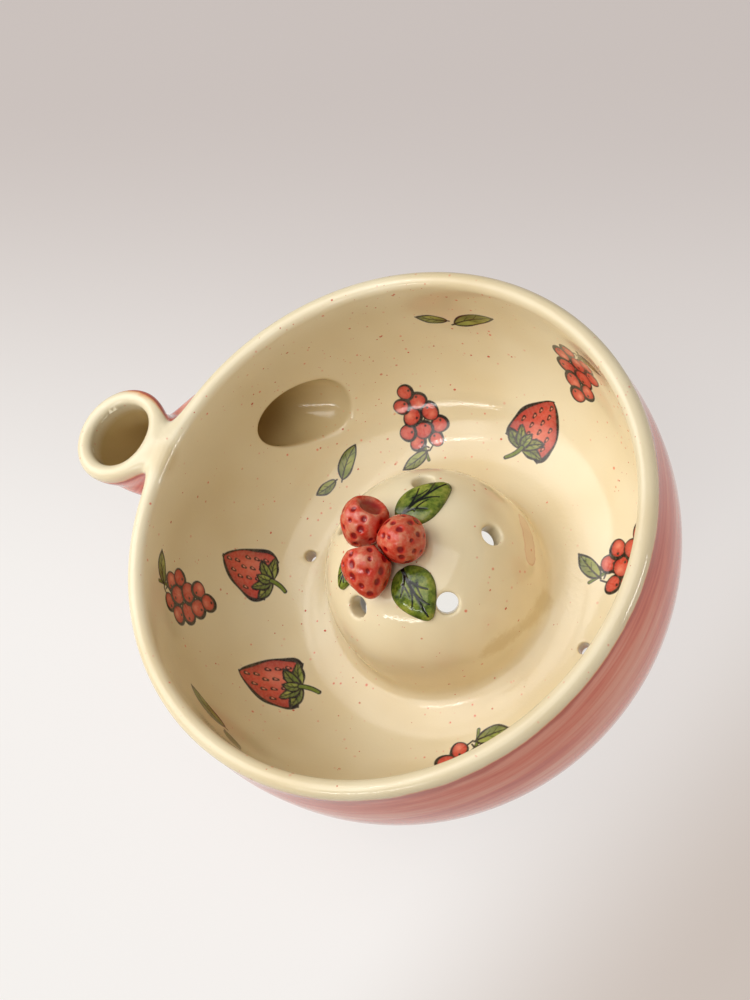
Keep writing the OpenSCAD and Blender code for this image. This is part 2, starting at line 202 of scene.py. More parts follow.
@dataclass(frozen=True)
class BowlForm:
    """The thrown wall, rim and floor, as a turned profile."""

    low: Array
    high: Array
    swell: float = 1.3
    wall: float = 6.5
    floor: float = 6.5
    belly_depth: float = 23.0
    underside_r: float = 58.0
    power: float = 2.2

    @property
    def belly_r(self) -> float:
        """Largest outer radius."""
        return self.high[1]

    @property
    def rim_r(self) -> float:
        """Outer radius of the rim."""
        return self.belly_r - self.swell

    @property
    def belly_z(self) -> float:
        """Height of the largest radius."""
        return self.high[2] - self.belly_depth

    @property
    def base_z(self) -> float:
        """Height of the flat underside."""
        return self.low[2]

    @property
    def floor_z(self) -> float:
        """Height of the floor inside."""
        return self.base_z + self.floor

    @property
    def round_r(self) -> float:
        """Radius of the half-round rim."""
        return self.wall / 2

    @property
    def round_z(self) -> float:
        """Height of the middle of the half-round rim."""
        return self.high[2] - self.round_r

    def side_r(self, z: Array) -> Array:
        """Outer radius at heights above the belly."""
        t = np.clip((z - self.belly_z) / (self.round_z - self.belly_z), 0, 1)
        return self.rim_r + self.swell * (1 - t * t) ** 2

    def outer(self, r: Array, z: Array) -> Array:
        """Distance outside the outer surface."""
        turn = superellipse_gap(r - self.underside_r, self.belly_z - z,
                                self.belly_r - self.underside_r, self.belly_z - self.base_z, self.power)
        return np.where(z > self.belly_z, r - self.side_r(z), turn)

    def inner(self, r: Array, z: Array) -> Array:
        """Distance outside the inner surface, negative in the hollow.

        Args:
            r: distances from the axis.
            z: heights.

        Returns:
            The distances.
        """
        start = self.underside_r - self.wall
        turn = superellipse_gap(r - start, self.belly_z - z, self.belly_r - self.wall - start,
                                self.belly_z - self.floor_z, self.power)
        return np.where(z > self.belly_z, r - self.side_r(z) + self.wall, turn)

    def shell(self, r: Array, z: Array) -> Array:
        """Distance outside the clay of the wall, floor and rim."""
        rim = np.hypot(r - self.rim_r + self.round_r, z - self.round_z) - self.round_r
        return np.where(z > self.round_z, rim, np.maximum(self.outer(r, z), -self.inner(r, z)))

    def inner_line(self, count: int = 400) -> Array:
        """Points along the inner profile.

        Args:
            count: the number of points on the turn.

        Returns:
            Rows of radius, height and length along the profile from the axis.
        """
        a = np.linspace(0, math.pi / 2, count)
        start = self.underside_r - self.wall
        r = start + (self.belly_r - self.wall - start) * np.sin(a) ** (2 / self.power)
        z = self.belly_z + (self.floor_z - self.belly_z) * np.cos(a) ** (2 / self.power)
        high = np.linspace(self.belly_z, self.round_z, count // 4)[1:]
        r = np.concatenate([[0], r, self.side_r(high) - self.wall])
        z = np.concatenate([[self.floor_z], z, high])
        run = np.concatenate([[0], np.cumsum(np.hypot(np.diff(r), np.diff(z)))])
        return np.stack([r, z, run], 1)


@dataclass(frozen=True)
class DomeForm:
    """The hollow dome in the middle, and its drain holes.

    Each drain hole's place is its turn in degrees and its distance in shares of hole_ring_r. A hole
    reaches as far as punch to either side of the skin.
    """

    low: Array
    high: Array
    bowl: BowlForm
    fillet: float = 5.5
    thick: float = 5.5
    power: float = 2.8
    hole_r: float = 3.75
    hole_ring_r: float = 28.0
    hole_places: tuple[Place, ...] = ((-3, 1), (73, 0.96), (150, 0.98), (210, 1.11), (281, 0.93))
    punch: float = 16.5

    @property
    def r(self) -> float:
        """Radius of the dome."""
        return self.high[0] - self.fillet

    @property
    def h(self) -> float:
        """Height of the dome above the floor."""
        return self.high[2] - self.bowl.floor_z

    def top_z(self, r: Array | float) -> Array:
        """Height of the dome's skin at distances from the middle."""
        return self.bowl.floor_z + self.h * np.maximum(1 - (r / self.r) ** self.power, 0) ** (1 / self.power)

    def tilt(self, r: Array | float) -> Array:
        """Slope of the dome's skin.

        Args:
            r: distances from the middle.

        Returns:
            The slopes, in radians.
        """
        share = r / self.r
        left = np.maximum(1 - share**self.power, 1e-6)
        return np.arctan(self.h / self.r * share ** (self.power - 1) * left ** (1 / self.power - 1))

    def over(self, xy: Array, lift: Array | float) -> Array:
        """Points over the dome, square to its skin.

        Args:
            xy: places in plan.
            lift: heights over the skin.

        Returns:
            The points.
        """
        r = np.maximum(np.linalg.norm(xy, axis=-1), 0.1)
        slope = self.tilt(r)
        out = 1 + lift * np.sin(slope) / r
        return np.stack([xy[..., 0] * out, xy[..., 1] * out, self.top_z(r) + lift * np.cos(slope)], -1)

    def outside(self, r: Array, z: Array) -> Array:
        """Distance outside the dome taken as a full body."""
        return np.maximum(superellipse_gap(r, z - self.bowl.floor_z, self.r, self.h, self.power),
                          self.bowl.base_z - z)

    def cavity(self, r: Array, z: Array) -> Array:
        """Distance outside the hollow under the dome."""
        return superellipse_gap(r, z - self.bowl.base_z, self.r - self.thick,
                                self.h + self.bowl.floor - self.thick, self.power)

    def holes(self, p: Array) -> Array:
        """Distance outside the nearest drain hole, each of which runs square to the skin.

        Args:
            p: points.

        Returns:
            The distances.
        """
        best = np.full(len(p), FAR)
        for degrees, share in self.hole_places:
            turn, r = math.radians(degrees), share * self.hole_ring_r
            tilt = self.tilt(r)
            out = np.array([math.cos(turn), math.sin(turn), 0])
            way = math.sin(tilt) * out + np.array([0, 0, math.cos(tilt)])
            off = p - (r * out + np.array([0, 0, self.top_z(r)]))
            along = off @ way
            gap = np.linalg.norm(off - along[:, None] * way, axis=1) - self.hole_r
            best = np.minimum(best, np.where(np.abs(along) < self.punch, gap, FAR))
        return best


@dataclass(frozen=True)
class SpoutForm:
    """The bent pouring tube: straight from the wall, then curving up to its mouth.

    A place on its middle line is 0 where the curve begins and 1 at its end, where the lip's round
    begins. The fields from seek_low on steer the search for the place nearest to a point.
    """

    bowl: BowlForm
    bore_r: float = 12.75
    thick: float = 3.8
    lip: float = 6.3
    lip_gap: float = 1.55
    lip_run: float = 12.0
    lean: float = 3.0
    entry_turn: float = 30.0
    entry_depth: float = 46.0
    entry_skew: float = 50.0
    entry_fall: float = 6.0
    entry_run: float = 23.0
    entry_pull: float = 20.0
    mouth_pull: float = 51.0
    seek_low: float = -0.6
    seek_high: float = 1.4
    seek_marks: int = 81
    seek_batch: int = 20000
    seek_rounds: int = 5
    seek_stride: float = 0.05
    seek_limits: Place = (-0.5, 1.6)
    least_curve: float = 200.0

    @property
    def mouth_dir(self) -> Array:
        """Direction of the axis at the mouth, outwards."""
        a = math.radians(self.lean)
        return np.array([math.sin(a), 0, math.cos(a)])

    @property
    def entry_dir(self) -> Array:
        """Direction of the straight bore, outwards."""
        fall, flat = math.radians(self.entry_fall), math.radians(self.entry_skew - self.entry_turn)
        return np.array([math.cos(fall) * math.cos(flat), math.cos(fall) * math.sin(flat), math.sin(fall)])

    @property
    def entry(self) -> Array:
        """Middle of the bore where it leaves the inner wall.

        Returns:
            The point.
        """
        z = self.bowl.high[2] - self.entry_depth
        line = self.bowl.inner_line()
        r = np.interp(z, line[:, 1], line[:, 0])
        a = math.radians(self.entry_turn)
        return np.array([r * math.cos(a), -r * math.sin(a), z])

    @property
    def lip_round(self) -> float:
        """Radius of the half-round lip."""
        return self.lip / 2

    @property
    def mouth(self) -> Array:
        """Middle of the mouth, level with its top."""
        return np.array([self.bowl.rim_r + self.lip_gap + self.bore_r + self.lip, 0, self.bowl.high[2]])

    @property
    def guides(self) -> Array:
        """The four guide points of the curved part.

        Returns:
            The points, one to a row.
        """
        bend = self.entry + self.entry_run * self.entry_dir
        base = self.mouth - self.lip_round * self.mouth_dir
        return np.stack([bend, bend + self.entry_pull * self.entry_dir,
                         base - self.mouth_pull * self.mouth_dir, base])

    def line(self, q: Array) -> tuple[Array, Array, Array]:
        """The tube's middle line, which runs on straight before 0 and after 1.

        Args:
            q: places along the line.

        Returns:
            Points, first derivatives and second derivatives.
        """
        a, b, c, d = self.guides
        t = np.clip(q, 0, 1)[:, None]
        s = 1 - t
        point = s**3 * a + 3 * t * s**2 * b + 3 * t**2 * s * c + t**3 * d
        first = 3 * (s**2 * (b - a) + 2 * t * s * (c - b) + t**2 * (d - c))
        second = 6 * (s * (c - 2 * b + a) + t * (d - 2 * c + b))
        over = (q - np.clip(q, 0, 1))[:, None]
        return point + over * first, first, np.where(over == 0, second, 0)

    def past(self, q: Array) -> Array:
        """How far places close to 1 lie past the lip's base, by the line's speed there."""
        return (q - 1) * 3 * self.mouth_pull

    def nearest(self, p: Array) -> tuple[Array, Array]:
        """Places on the middle line nearest to points.

        Args:
            p: points.

        Returns:
            The places, and the distances from the line.
        """
        guess = np.linspace(self.seek_low, self.seek_high, self.seek_marks)
        marks = self.line(guess)[0]
        q = np.empty(len(p))
        for i in range(0, len(p), self.seek_batch):
            part = p[i : i + self.seek_batch]
            q[i : i + self.seek_batch] = guess[((part[:, None] - marks) ** 2).sum(2).argmin(1)]
        for _ in range(self.seek_rounds):
            point, first, second = self.line(q)
            off = point - p
            slope = (off * first).sum(1)
            curve = (first * first).sum(1) + (off * second).sum(1)
            step = np.clip(slope / np.maximum(curve, self.least_curve), -self.seek_stride, self.seek_stride)
            q = np.clip(q - step, *self.seek_limits)
        return q, np.linalg.norm(self.line(q)[0] - p, axis=1)

    def outside(self, q: Array, gap: Array) -> Array:
        """Distance outside the tube taken as a full rod, with its half-round lip as the end.

        Args:
            q: nearest places on the middle line.
            gap: distances from it.

        Returns:
            The distances.
        """
        past = self.past(q)
        skin_r = self.bore_r + self.thick + (self.lip - self.thick) * smooth_step(past, -self.lip_run, 0)
        top = np.hypot(gap - self.bore_r - self.lip_round, past) - self.lip_round
        return np.where(past > 0, top, gap - skin_r)

    def bore(self, gap: Array) -> Array:
        """Distance outside the bore."""
        return gap - self.bore_r


# How a mesh keeps a mark, by how many numbers it has for each point.
MARK_KINDS = {1: ("FLOAT", "value"), 3: ("FLOAT_VECTOR", "vector"), 4: ("FLOAT_COLOR", "color")}


@dataclass
class Skin:
    """A closed skin of triangles."""

    points: Array
    triangles: Array
    normals: Array = field(default_factory=lambda: np.zeros((0, 3)))

    def to_object(self, name: str, marks: dict[str, Array]) -> Object:
        """Makes a Blender object of the skin, in metres.

        Args:
            name: the object's name.
            marks: named values for each point, one number, three or four each.

        Returns:
            The linked object.
        """
        mesh = bpy.data.meshes.new(name)
        mesh.vertices.add(len(self.points))
        mesh.vertices.foreach_set("co", (self.points * MM).astype(np.float32).ravel())
        mesh.loops.add(self.triangles.size)
        mesh.loops.foreach_set("vertex_index", self.triangles.astype(np.int32).ravel())
        mesh.polygons.add(len(self.triangles))
        mesh.polygons.foreach_set("loop_start", np.arange(0, self.triangles.size, 3, dtype=np.int32))
        mesh.update(calc_edges=True)
        mesh.validate()
        mesh.polygons.foreach_set("use_smooth", np.ones(len(mesh.polygons), bool))
        for mark, values in marks.items():
            kind, key = MARK_KINDS[1 if values.ndim == 1 else values.shape[1]]
            data = mesh.attributes.new(mark, kind, "POINT").data
            data.foreach_set(key, values.astype(np.float32).ravel())
        if len(self.normals):
            mesh.normals_split_custom_set_from_vertices(self.normals.astype(float).tolist())
        return place_object(name, mesh)


def slopes(shape: Field, p: Array, step: float = 0.05) -> Array:
    """Gradient of a distance field at points.

    Args:
        shape: the field.
        p: points.
        step: how far to either side the field is read.

    Returns:
        The gradients.
    """
    out = np.empty_like(p)
    for axis in range(3):
        off = np.zeros(3)
        off[axis] = step
        out[:, axis] = (shape(p + off) - shape(p - off)) / (2 * step)
    return out


def settle(shape: Field, p: Array, rounds: int, stride: float = 1.0, least: float = 0.05) -> Array:
    """Moves points onto the zero level of a distance field.

    Args:
        shape: the field.
        p: points near the level.
        rounds: the number of steps.
        stride: the longest step.
        least: the least square of the slope that a step is worked out with.

    Returns:
        The moved points.
    """
    p = p.copy()
    for _ in range(rounds):
        g = slopes(shape, p)
        step = shape(p)[:, None] * g / np.maximum((g * g).sum(1, keepdims=True), least)
        length = np.linalg.norm(step, axis=1, keepdims=True)
        p -= step * np.minimum(1, stride / np.maximum(length, 1e-9))
    return p


def halves(quads: Array) -> Array:
    """Both triangles of each quad."""
    return np.concatenate([quads[:, [0, 1, 2]], quads[:, [0, 2, 3]]])


def sheet_faces(cell: Array, used: Array, border: Array) -> Array:
    """Triangles over and under a thin sheet, which share the points along its border.

    Args:
        cell: which cells of the grid the sheet covers.
        used: which points of the grid it covers.
        border: which of them lie on its border.

    Returns:
        The triangles, by points counted over the sheet first and then under it.
    """
    over = np.full(used.shape, -1)
    over[used] = np.arange(used.sum())
    under = over.copy()
    inner = used & ~border
    under[inner] = used.sum() + np.arange(inner.sum())
    corners = (np.s_[:-1, :-1], np.s_[1:, :-1], np.s_[1:, 1:], np.s_[:-1, 1:])
    top, bottom = (np.stack([n[c] for c in corners], -1)[cell] for n in (over, under))
    return np.concatenate([halves(top), halves(bottom[:, ::-1])])


def ball_faces(rings: int, sides: int) -> Array:
    """Triangles of a closed ball, whose last two points are its first and its last pole.

    Args:
        rings: the number of rings between the poles.
        sides: the number of points on a ring.

    Returns:
        The triangles.
    """
    ring = np.arange(rings - 1)[:, None] * sides
    j = np.arange(sides)
    k = (j + 1) % sides
    quads = np.stack([ring + j, ring + sides + j, ring + sides + k, ring + k], -1).reshape(-1, 4)
    last = (rings - 1) * sides
    pole = np.full(sides, rings * sides)
    caps = [np.stack([pole, j, k], 1), np.stack([last + k, last + j, pole + 1], 1)]
    return np.concatenate([halves(quads), *caps])


def twice(values: Array, inner: Array) -> Array:
    """Values for the points over a sheet, and again for those under it."""
    return np.concatenate([values, values[inner]])


def wrap(shape: Field, low: Sequence[float], high: Sequence[float], step: float) -> Skin:
    """Wraps a skin round the space where a field is negative, on a cubic grid.

    Each cell that the surface runs through gets one point, and each grid edge that it cuts gets a
    quad between the four cells round that edge.

    Args:
        shape: the field.
        low: lowest corner of the grid.
        high: highest corner of the grid.
        step: size of a cell.

    Returns:
        The closed skin, its points settled on the field's zero level.
    """
    axes = [np.arange(a, b + step, step) for a, b in zip(low, high)]
    grid = np.stack(np.meshgrid(*axes, indexing="ij"), -1)
    size = np.array(grid.shape[:3])
    value = shape(grid.reshape(-1, 3)).reshape(size)
    inside = value < 0
    cells = size - 1
    corner = [(i, j, k) for i in (0, 1) for j in (0, 1) for k in (0, 1)]
    part = {c: tuple(slice(o, o + n) for o, n in zip(c, cells)) for c in corner}
    count = sum(inside[part[c]].astype(int) for c in corner)
    mixed = (count > 0) & (count < len(corner))
    total = np.zeros((mixed.sum(), 3))
    hits = np.zeros(mixed.sum())
    for a in corner:
        for axis in range(3):
            if a[axis]:
                continue
            b = tuple(v + (n == axis) for n, v in enumerate(a))
            va, vb = value[part[a]][mixed], value[part[b]][mixed]
            cut = (va < 0) != (vb < 0)
            t = np.where(cut, va / np.where(cut, va - vb, 1), 0)[:, None]
            pa, pb = grid[part[a]][mixed], grid[part[b]][mixed]
            total += np.where(cut[:, None], pa + t * (pb - pa), 0)
            hits += cut
    index = np.full(cells, -1)
    index[mixed] = np.arange(mixed.sum())
    quads = []
    for axis in range(3):
        u, v = (axis + 1) % 3, (axis + 2) % 3
        a = tuple(slice(0, n) if i == axis else slice(1, n) for i, n in enumerate(cells))
        b = tuple(slice(1, n + 1) if i == axis else slice(1, n) for i, n in enumerate(cells))
        crossing = inside[a] != inside[b]
        at = np.argwhere(crossing)
        at[:, [u, v]] += 1
        outward = inside[a][crossing]
        du, dv = np.eye(3, dtype=int)[[u, v]]
        ring = [index[tuple((at - s * du - t * dv).T)] for s, t in ((1, 1), (0, 1), (0, 0), (1, 0))]
        ring = np.stack(ring, 1)
        quads.append(np.where(outward[:, None], ring, ring[:, ::-1]))
    return Skin(settle(shape, total / hits[:, None], 4), halves(np.concatenate(quads)))


# The triangles that a triangle falls into when its first one, two or three edges are split. Its
# corners are 0 to 2, and the middles of the edges that begin at them are 3 to 5.
SPLITS = {1: ([0, 3, 2], [3, 1, 2]), 2: ([3, 1, 4], [0, 3, 4], [0, 4, 2]),
          3: ([0, 3, 5], [3, 1, 4], [5, 4, 2], [3, 4, 5])}


def refine(skin: Skin, shape: Field, turn: float, shortest: float, rounds: int) -> Skin:
    """Splits the edges of a skin where it turns fast, and settles the new points.

    Args:
        skin: the skin.
        shape: its field.
        turn: largest turn along an edge that is left, in degrees.
        shortest: length below which an edge isn't split.
        rounds: the number of passes.

    Returns:
        The finer skin, with its normals.
    """
    points, triangles = skin.points, skin.triangles
    normals = unit(slopes(shape, points))
    limit = math.cos(math.radians(turn))
    for _ in range(rounds):
        pairs = np.sort(triangles[:, [[0, 1], [1, 2], [2, 0]]].reshape(-1, 2), 1)
        edges, back = np.unique(pairs, axis=0, return_inverse=True)
        a, b = edges.T
        long = np.linalg.norm(points[a] - points[b], axis=1) > shortest
        split = ((normals[a] * normals[b]).sum(1) < limit) & long
        if not split.any():
            break
        middle = settle(shape, (points[a[split]] + points[b[split]]) / 2, 2)
        number = np.full(len(edges), -1)
        number[split] = len(points) + np.arange(split.sum())
        points = np.concatenate([points, middle])
        normals = np.concatenate([normals, unit(slopes(shape, middle))])
        cuts = number[back.reshape(-1, 3)]
        made = [triangles[(cuts < 0).all(1)]]
        for k in range(3):
            six = np.hstack([np.roll(triangles, -k, axis=1), np.roll(cuts, -k, axis=1)])
            cut = six[:, 3:] >= 0
            for count in (1, 2):
                chosen = six[cut[:, :count].all(1) & ~cut[:, count:].any(1)]
                made += [chosen[:, corners] for corners in SPLITS[count]]
        whole = np.hstack([triangles, cuts])[(cuts >= 0).all(1)]
        made += [whole[:, corners] for corners in SPLITS[3]]
        triangles = np.concatenate(made)
    return Skin(points, triangles, normals)


@dataclass
class GlazedBowl:
    """Wall, floor, dome, spout and web under one glaze, with their joints smoothed by hand.

    The blends say how far the joints between the pieces of clay are rounded. The wash fields place
    the rose wash, the shade fields place painted shade, a tan darkening in the spout's bore and on
    the web, and the smear and the stain are two blotches on the dome. The grid of cells reaches
    margin past the wall, past_mouth past the mouth's middle and over_rim over the rim.
    """

    bowl: BowlForm
    dome: DomeForm
    spout: SpoutForm
    cell: float = 1.9
    margin: float = 4.0
    past_mouth: float = 24.0
    over_rim: float = 5.0
    turn: float = 13.0
    shortest: float = 0.3
    rounds: int = 3
    spout_low: Point = (40.0, -90.0, 5.0)
    spout_high: Point = (math.inf, 45.0, math.inf)
    floor_drain_r: float = 2.25
    floor_drain_ring_r: float = 60.0
    floor_drain_turns: Place = (5, 176)
    tube_blend: float = 5.0
    web_blend: float = 15.0
    web_reach: float = 14.0
    entry_blend: float = 3.6
    mouth_blend: float = 0.8
    base_blend: float = 9.0
    cavity_blend: float = 2.0
    hole_blend: float = 2.6
    drain_blend: float = 1.4
    wash_slope: float = 3.0
    wash_drop: float = 3.4
    wash_foot_share: float = 0.9
    wash_drain_gap: float = 0.8
    lip_wash: float = -1.2
    lip_wash_climb: float = 4.0
    # Painted shade: where the tan darkening lies in the spout's bore and on the web round web_middle.
    shade_rim: float = 1.2
    shade_start: Place = (0.5, 6.0)
    shade_end: Place = (-0.9, -0.1)
    web_middle: Point = (90.0, 4.0, 85.0)
    web_shade: float = 0.45
    web_shade_reach: Place = (3.0, 9.0)
    smear_r: float = 4.2
    smear_ends: tuple[Point, Point] = ((-27.6, -28.2, 31.5), (-35.4, -17.3, 33.0))
    stain_r: float = 5.5
    stain_ends: tuple[Point, Point] = ((-34.5, 19.4, 30.2), (-40.3, -7.2, 16.4))
    blotch_depth: float = -3.0
    speck_inset: float = 4.0
    speck_slope: float = -0.3
    speck_wave: float = 21.0

    def spout_room(self, p: Array) -> Array:
        """Which points lie near enough to the spout to be shaped by it."""
        return ((p > self.spout_low) & (p < self.spout_high)).all(1)

    def shape(self, p: Array) -> Array:
        """Distance outside the clay, nearly true close to its surface.

        Args:
            p: points.

        Returns:
            Signed distances, negative in the clay.
        """
        r, z = np.hypot(p[:, 0], p[:, 1]), p[:, 2]
        hollow = self.bowl.inner(r, z)
        clay = self.bowl.shell(r, z)
        near = self.spout_room(p)
        if near.any():
            q, gap = self.spout.nearest(p[near])
            rim_z = self.bowl.high[2]
            at_web = smooth_step(z[near], rim_z - 2 * self.web_reach, rim_z - self.web_reach / 2)
            reach = self.tube_blend + (self.web_blend - self.tube_blend) * at_web
            joined = soft_min(clay[near], self.spout.outside(q, gap), reach)
            joined = np.where(z[near] < self.bowl.round_z, np.maximum(joined, -hollow[near]), joined)
            edge = self.mouth_blend + (self.entry_blend - self.mouth_blend) * fade(q, 0.0, 0.5)
            clay[near] = soft_max(joined, -self.spout.bore(gap), edge)
        clay = soft_min(clay, self.dome.outside(r, z), self.base_blend)
        clay = soft_max(clay, -self.dome.cavity(r, z), self.cavity_blend)
        clay = soft_max(clay, -self.dome.holes(p), self.hole_blend)
        return soft_max(clay, -self.floor_drains(p), self.drain_blend)

    def floor_drains(self, p: Array) -> Array:
        """Distance outside the nearest floor drain."""
        ring = self.floor_drain_ring_r
        return np.min([np.hypot(p[:, 0] - ring * math.cos(turn), p[:, 1] - ring * math.sin(turn))
                       - self.floor_drain_r for turn in np.radians(self.floor_drain_turns)], axis=0)

    def wash_marks(self, p: Array) -> tuple[Array, Array]:
        """Where the rose wash lies on the clay.

        It covers the outer half of the wall and of the tube, up to a line under the rim and on the
        lip, and leaves the middle of the underside and the edges of the floor drains free.

        Args:
            p: points on the surface.

        Returns:
            Distances inside the wash's edge, and coordinates for its brush strokes.
        """
        r, z = np.hypot(p[:, 0], p[:, 1]), p[:, 2]
        outside = self.wash_slope / 2 * (self.bowl.inner(r, z) + self.bowl.outer(r, z))
        near = self.spout_room(p)
        q, gap = self.spout.nearest(p[near])
        past = self.spout.past(q)
        on_tube = self.spout.outside(q, gap) < self.bowl.shell(r[near], z[near])
        flare = smooth_step(past, -self.spout.lip_run, 0.0)
        half = self.spout.thick / 2 + flare * (self.spout.lip_round - self.spout.thick / 2)
        tube = self.wash_slope * (gap - self.spout.bore_r - half)
        outside[near] = np.where(on_tube, np.minimum(tube, outside[near]), outside[near])
        line = self.bowl.high[2] - self.wash_drop - z
        climb = (self.spout.mouth[1] - p[near, 1]) / (self.spout.bore_r + self.spout.lip)
        edge = self.lip_wash + self.lip_wash_climb * smooth_step(climb, 0.2, 1.0)
        line[near] = np.where(on_tube, edge - past, line[near])
        foot = r - self.wash_foot_share * self.bowl.underside_r
        wash = np.min([outside, line, foot, self.floor_drains(p) - self.wash_drain_gap], axis=0)
        around = p[:, :2] / np.maximum(r, 1)[:, None]
        return wash, np.column_stack([around, z + r])

    def painted_bore_shade(self, p: Array) -> Array:
        """Painted shade: how far the cream is darkened to tan in the spout's bore and on the web.

        Args:
            p: points on the surface.

        Returns:
            A share from 0 to 1 for each point.
        """
        shade = np.zeros(len(p))
        near = self.spout_room(p)
        q, gap = self.spout.nearest(p[near])
        # Painted shade inside the bore, from a few millimetres under the mouth down to the wall.
        inside = smooth_step(self.spout.bore_r + self.shade_rim - gap, 0.0, self.shade_rim)
        run = smooth_step(-self.spout.past(q), *self.shade_start) * smooth_step(q, *self.shade_end)
        shade[near] = inside * run
        # Painted shade on the web between the lip and the rim.
        web = np.linalg.norm(p - np.array(self.web_middle), axis=1)
        return np.maximum(shade, self.web_shade * fade(web, *self.web_shade_reach))

    def blotch(self, p: Array, ends: tuple[Point, Point], reach: float) -> Array:
        """Distance inside the edge of a long blotch in the glaze, never under blotch_depth.

        Args:
            p: points on the surface.
            ends: the blotch's two ends.
            reach: how far it reaches from the line between them.

        Returns:
            The distances.
        """
        a, b = np.array(ends)
        t = np.clip((p - a) @ (b - a) / ((b - a) @ (b - a)), 0, 1)
        gap = np.linalg.norm(p - a - t[:, None] * (b - a), axis=1)
        return np.maximum(reach - gap, self.blotch_depth)

    def speckle_share(self, skin: Skin) -> Array:
        """How thickly specks lie on the skin: thick in drifts, none outside or under the dome.

        Args:
            skin: the bowl's skin.

        Returns:
            A share from 0 to 1 for each point.
        """
        p = skin.points
        r, z = np.hypot(p[:, 0], p[:, 1]), p[:, 2]
        within = (self.bowl.outer(r, z) < -self.speck_inset) & (self.dome.cavity(r, z) > self.speck_inset)
        x, y = p[:, 0] / self.speck_wave, p[:, 1] / self.speck_wave
        drift = np.sin(x + 1.7 * np.sin(0.7 * y)) + np.sin(1.2 * y + 1.4 * np.sin(0.8 * x + 2))
        share = 0.25 + 0.75 * smooth_step(drift, 0.2, 1.6)
        return np.where(within & (skin.normals[:, 2] > self.speck_slope), share, 0)

    def build(self) -> Object:
        """Makes the piece, with the marks that its finish reads.

        Returns:
            The linked object.
        """
        side = self.bowl.belly_r + self.margin
        low = [-side, -side, self.bowl.base_z - self.margin]
        high = [self.spout.mouth[0] + self.past_mouth, side, self.bowl.high[2] + self.over_rim]
        skin = wrap(self.shape, low, high, self.cell)
        skin = refine(skin, self.shape, self.turn, self.shortest, self.rounds)
        wash, strokes = self.wash_marks(skin.points)
        # The shade mark is painted shade; the smear and the stain are real blotches.
        marks = {"wash": wash, "strokes": strokes, "speckle": self.speckle_share(skin),
                 "shade": self.painted_bore_shade(skin.points),
                 "smear": self.blotch(skin.points, self.smear_ends, self.smear_r),
                 "stain": self.blotch(skin.points, self.stain_ends, self.stain_r)}
        return skin.to_object("glazed_bowl", marks)


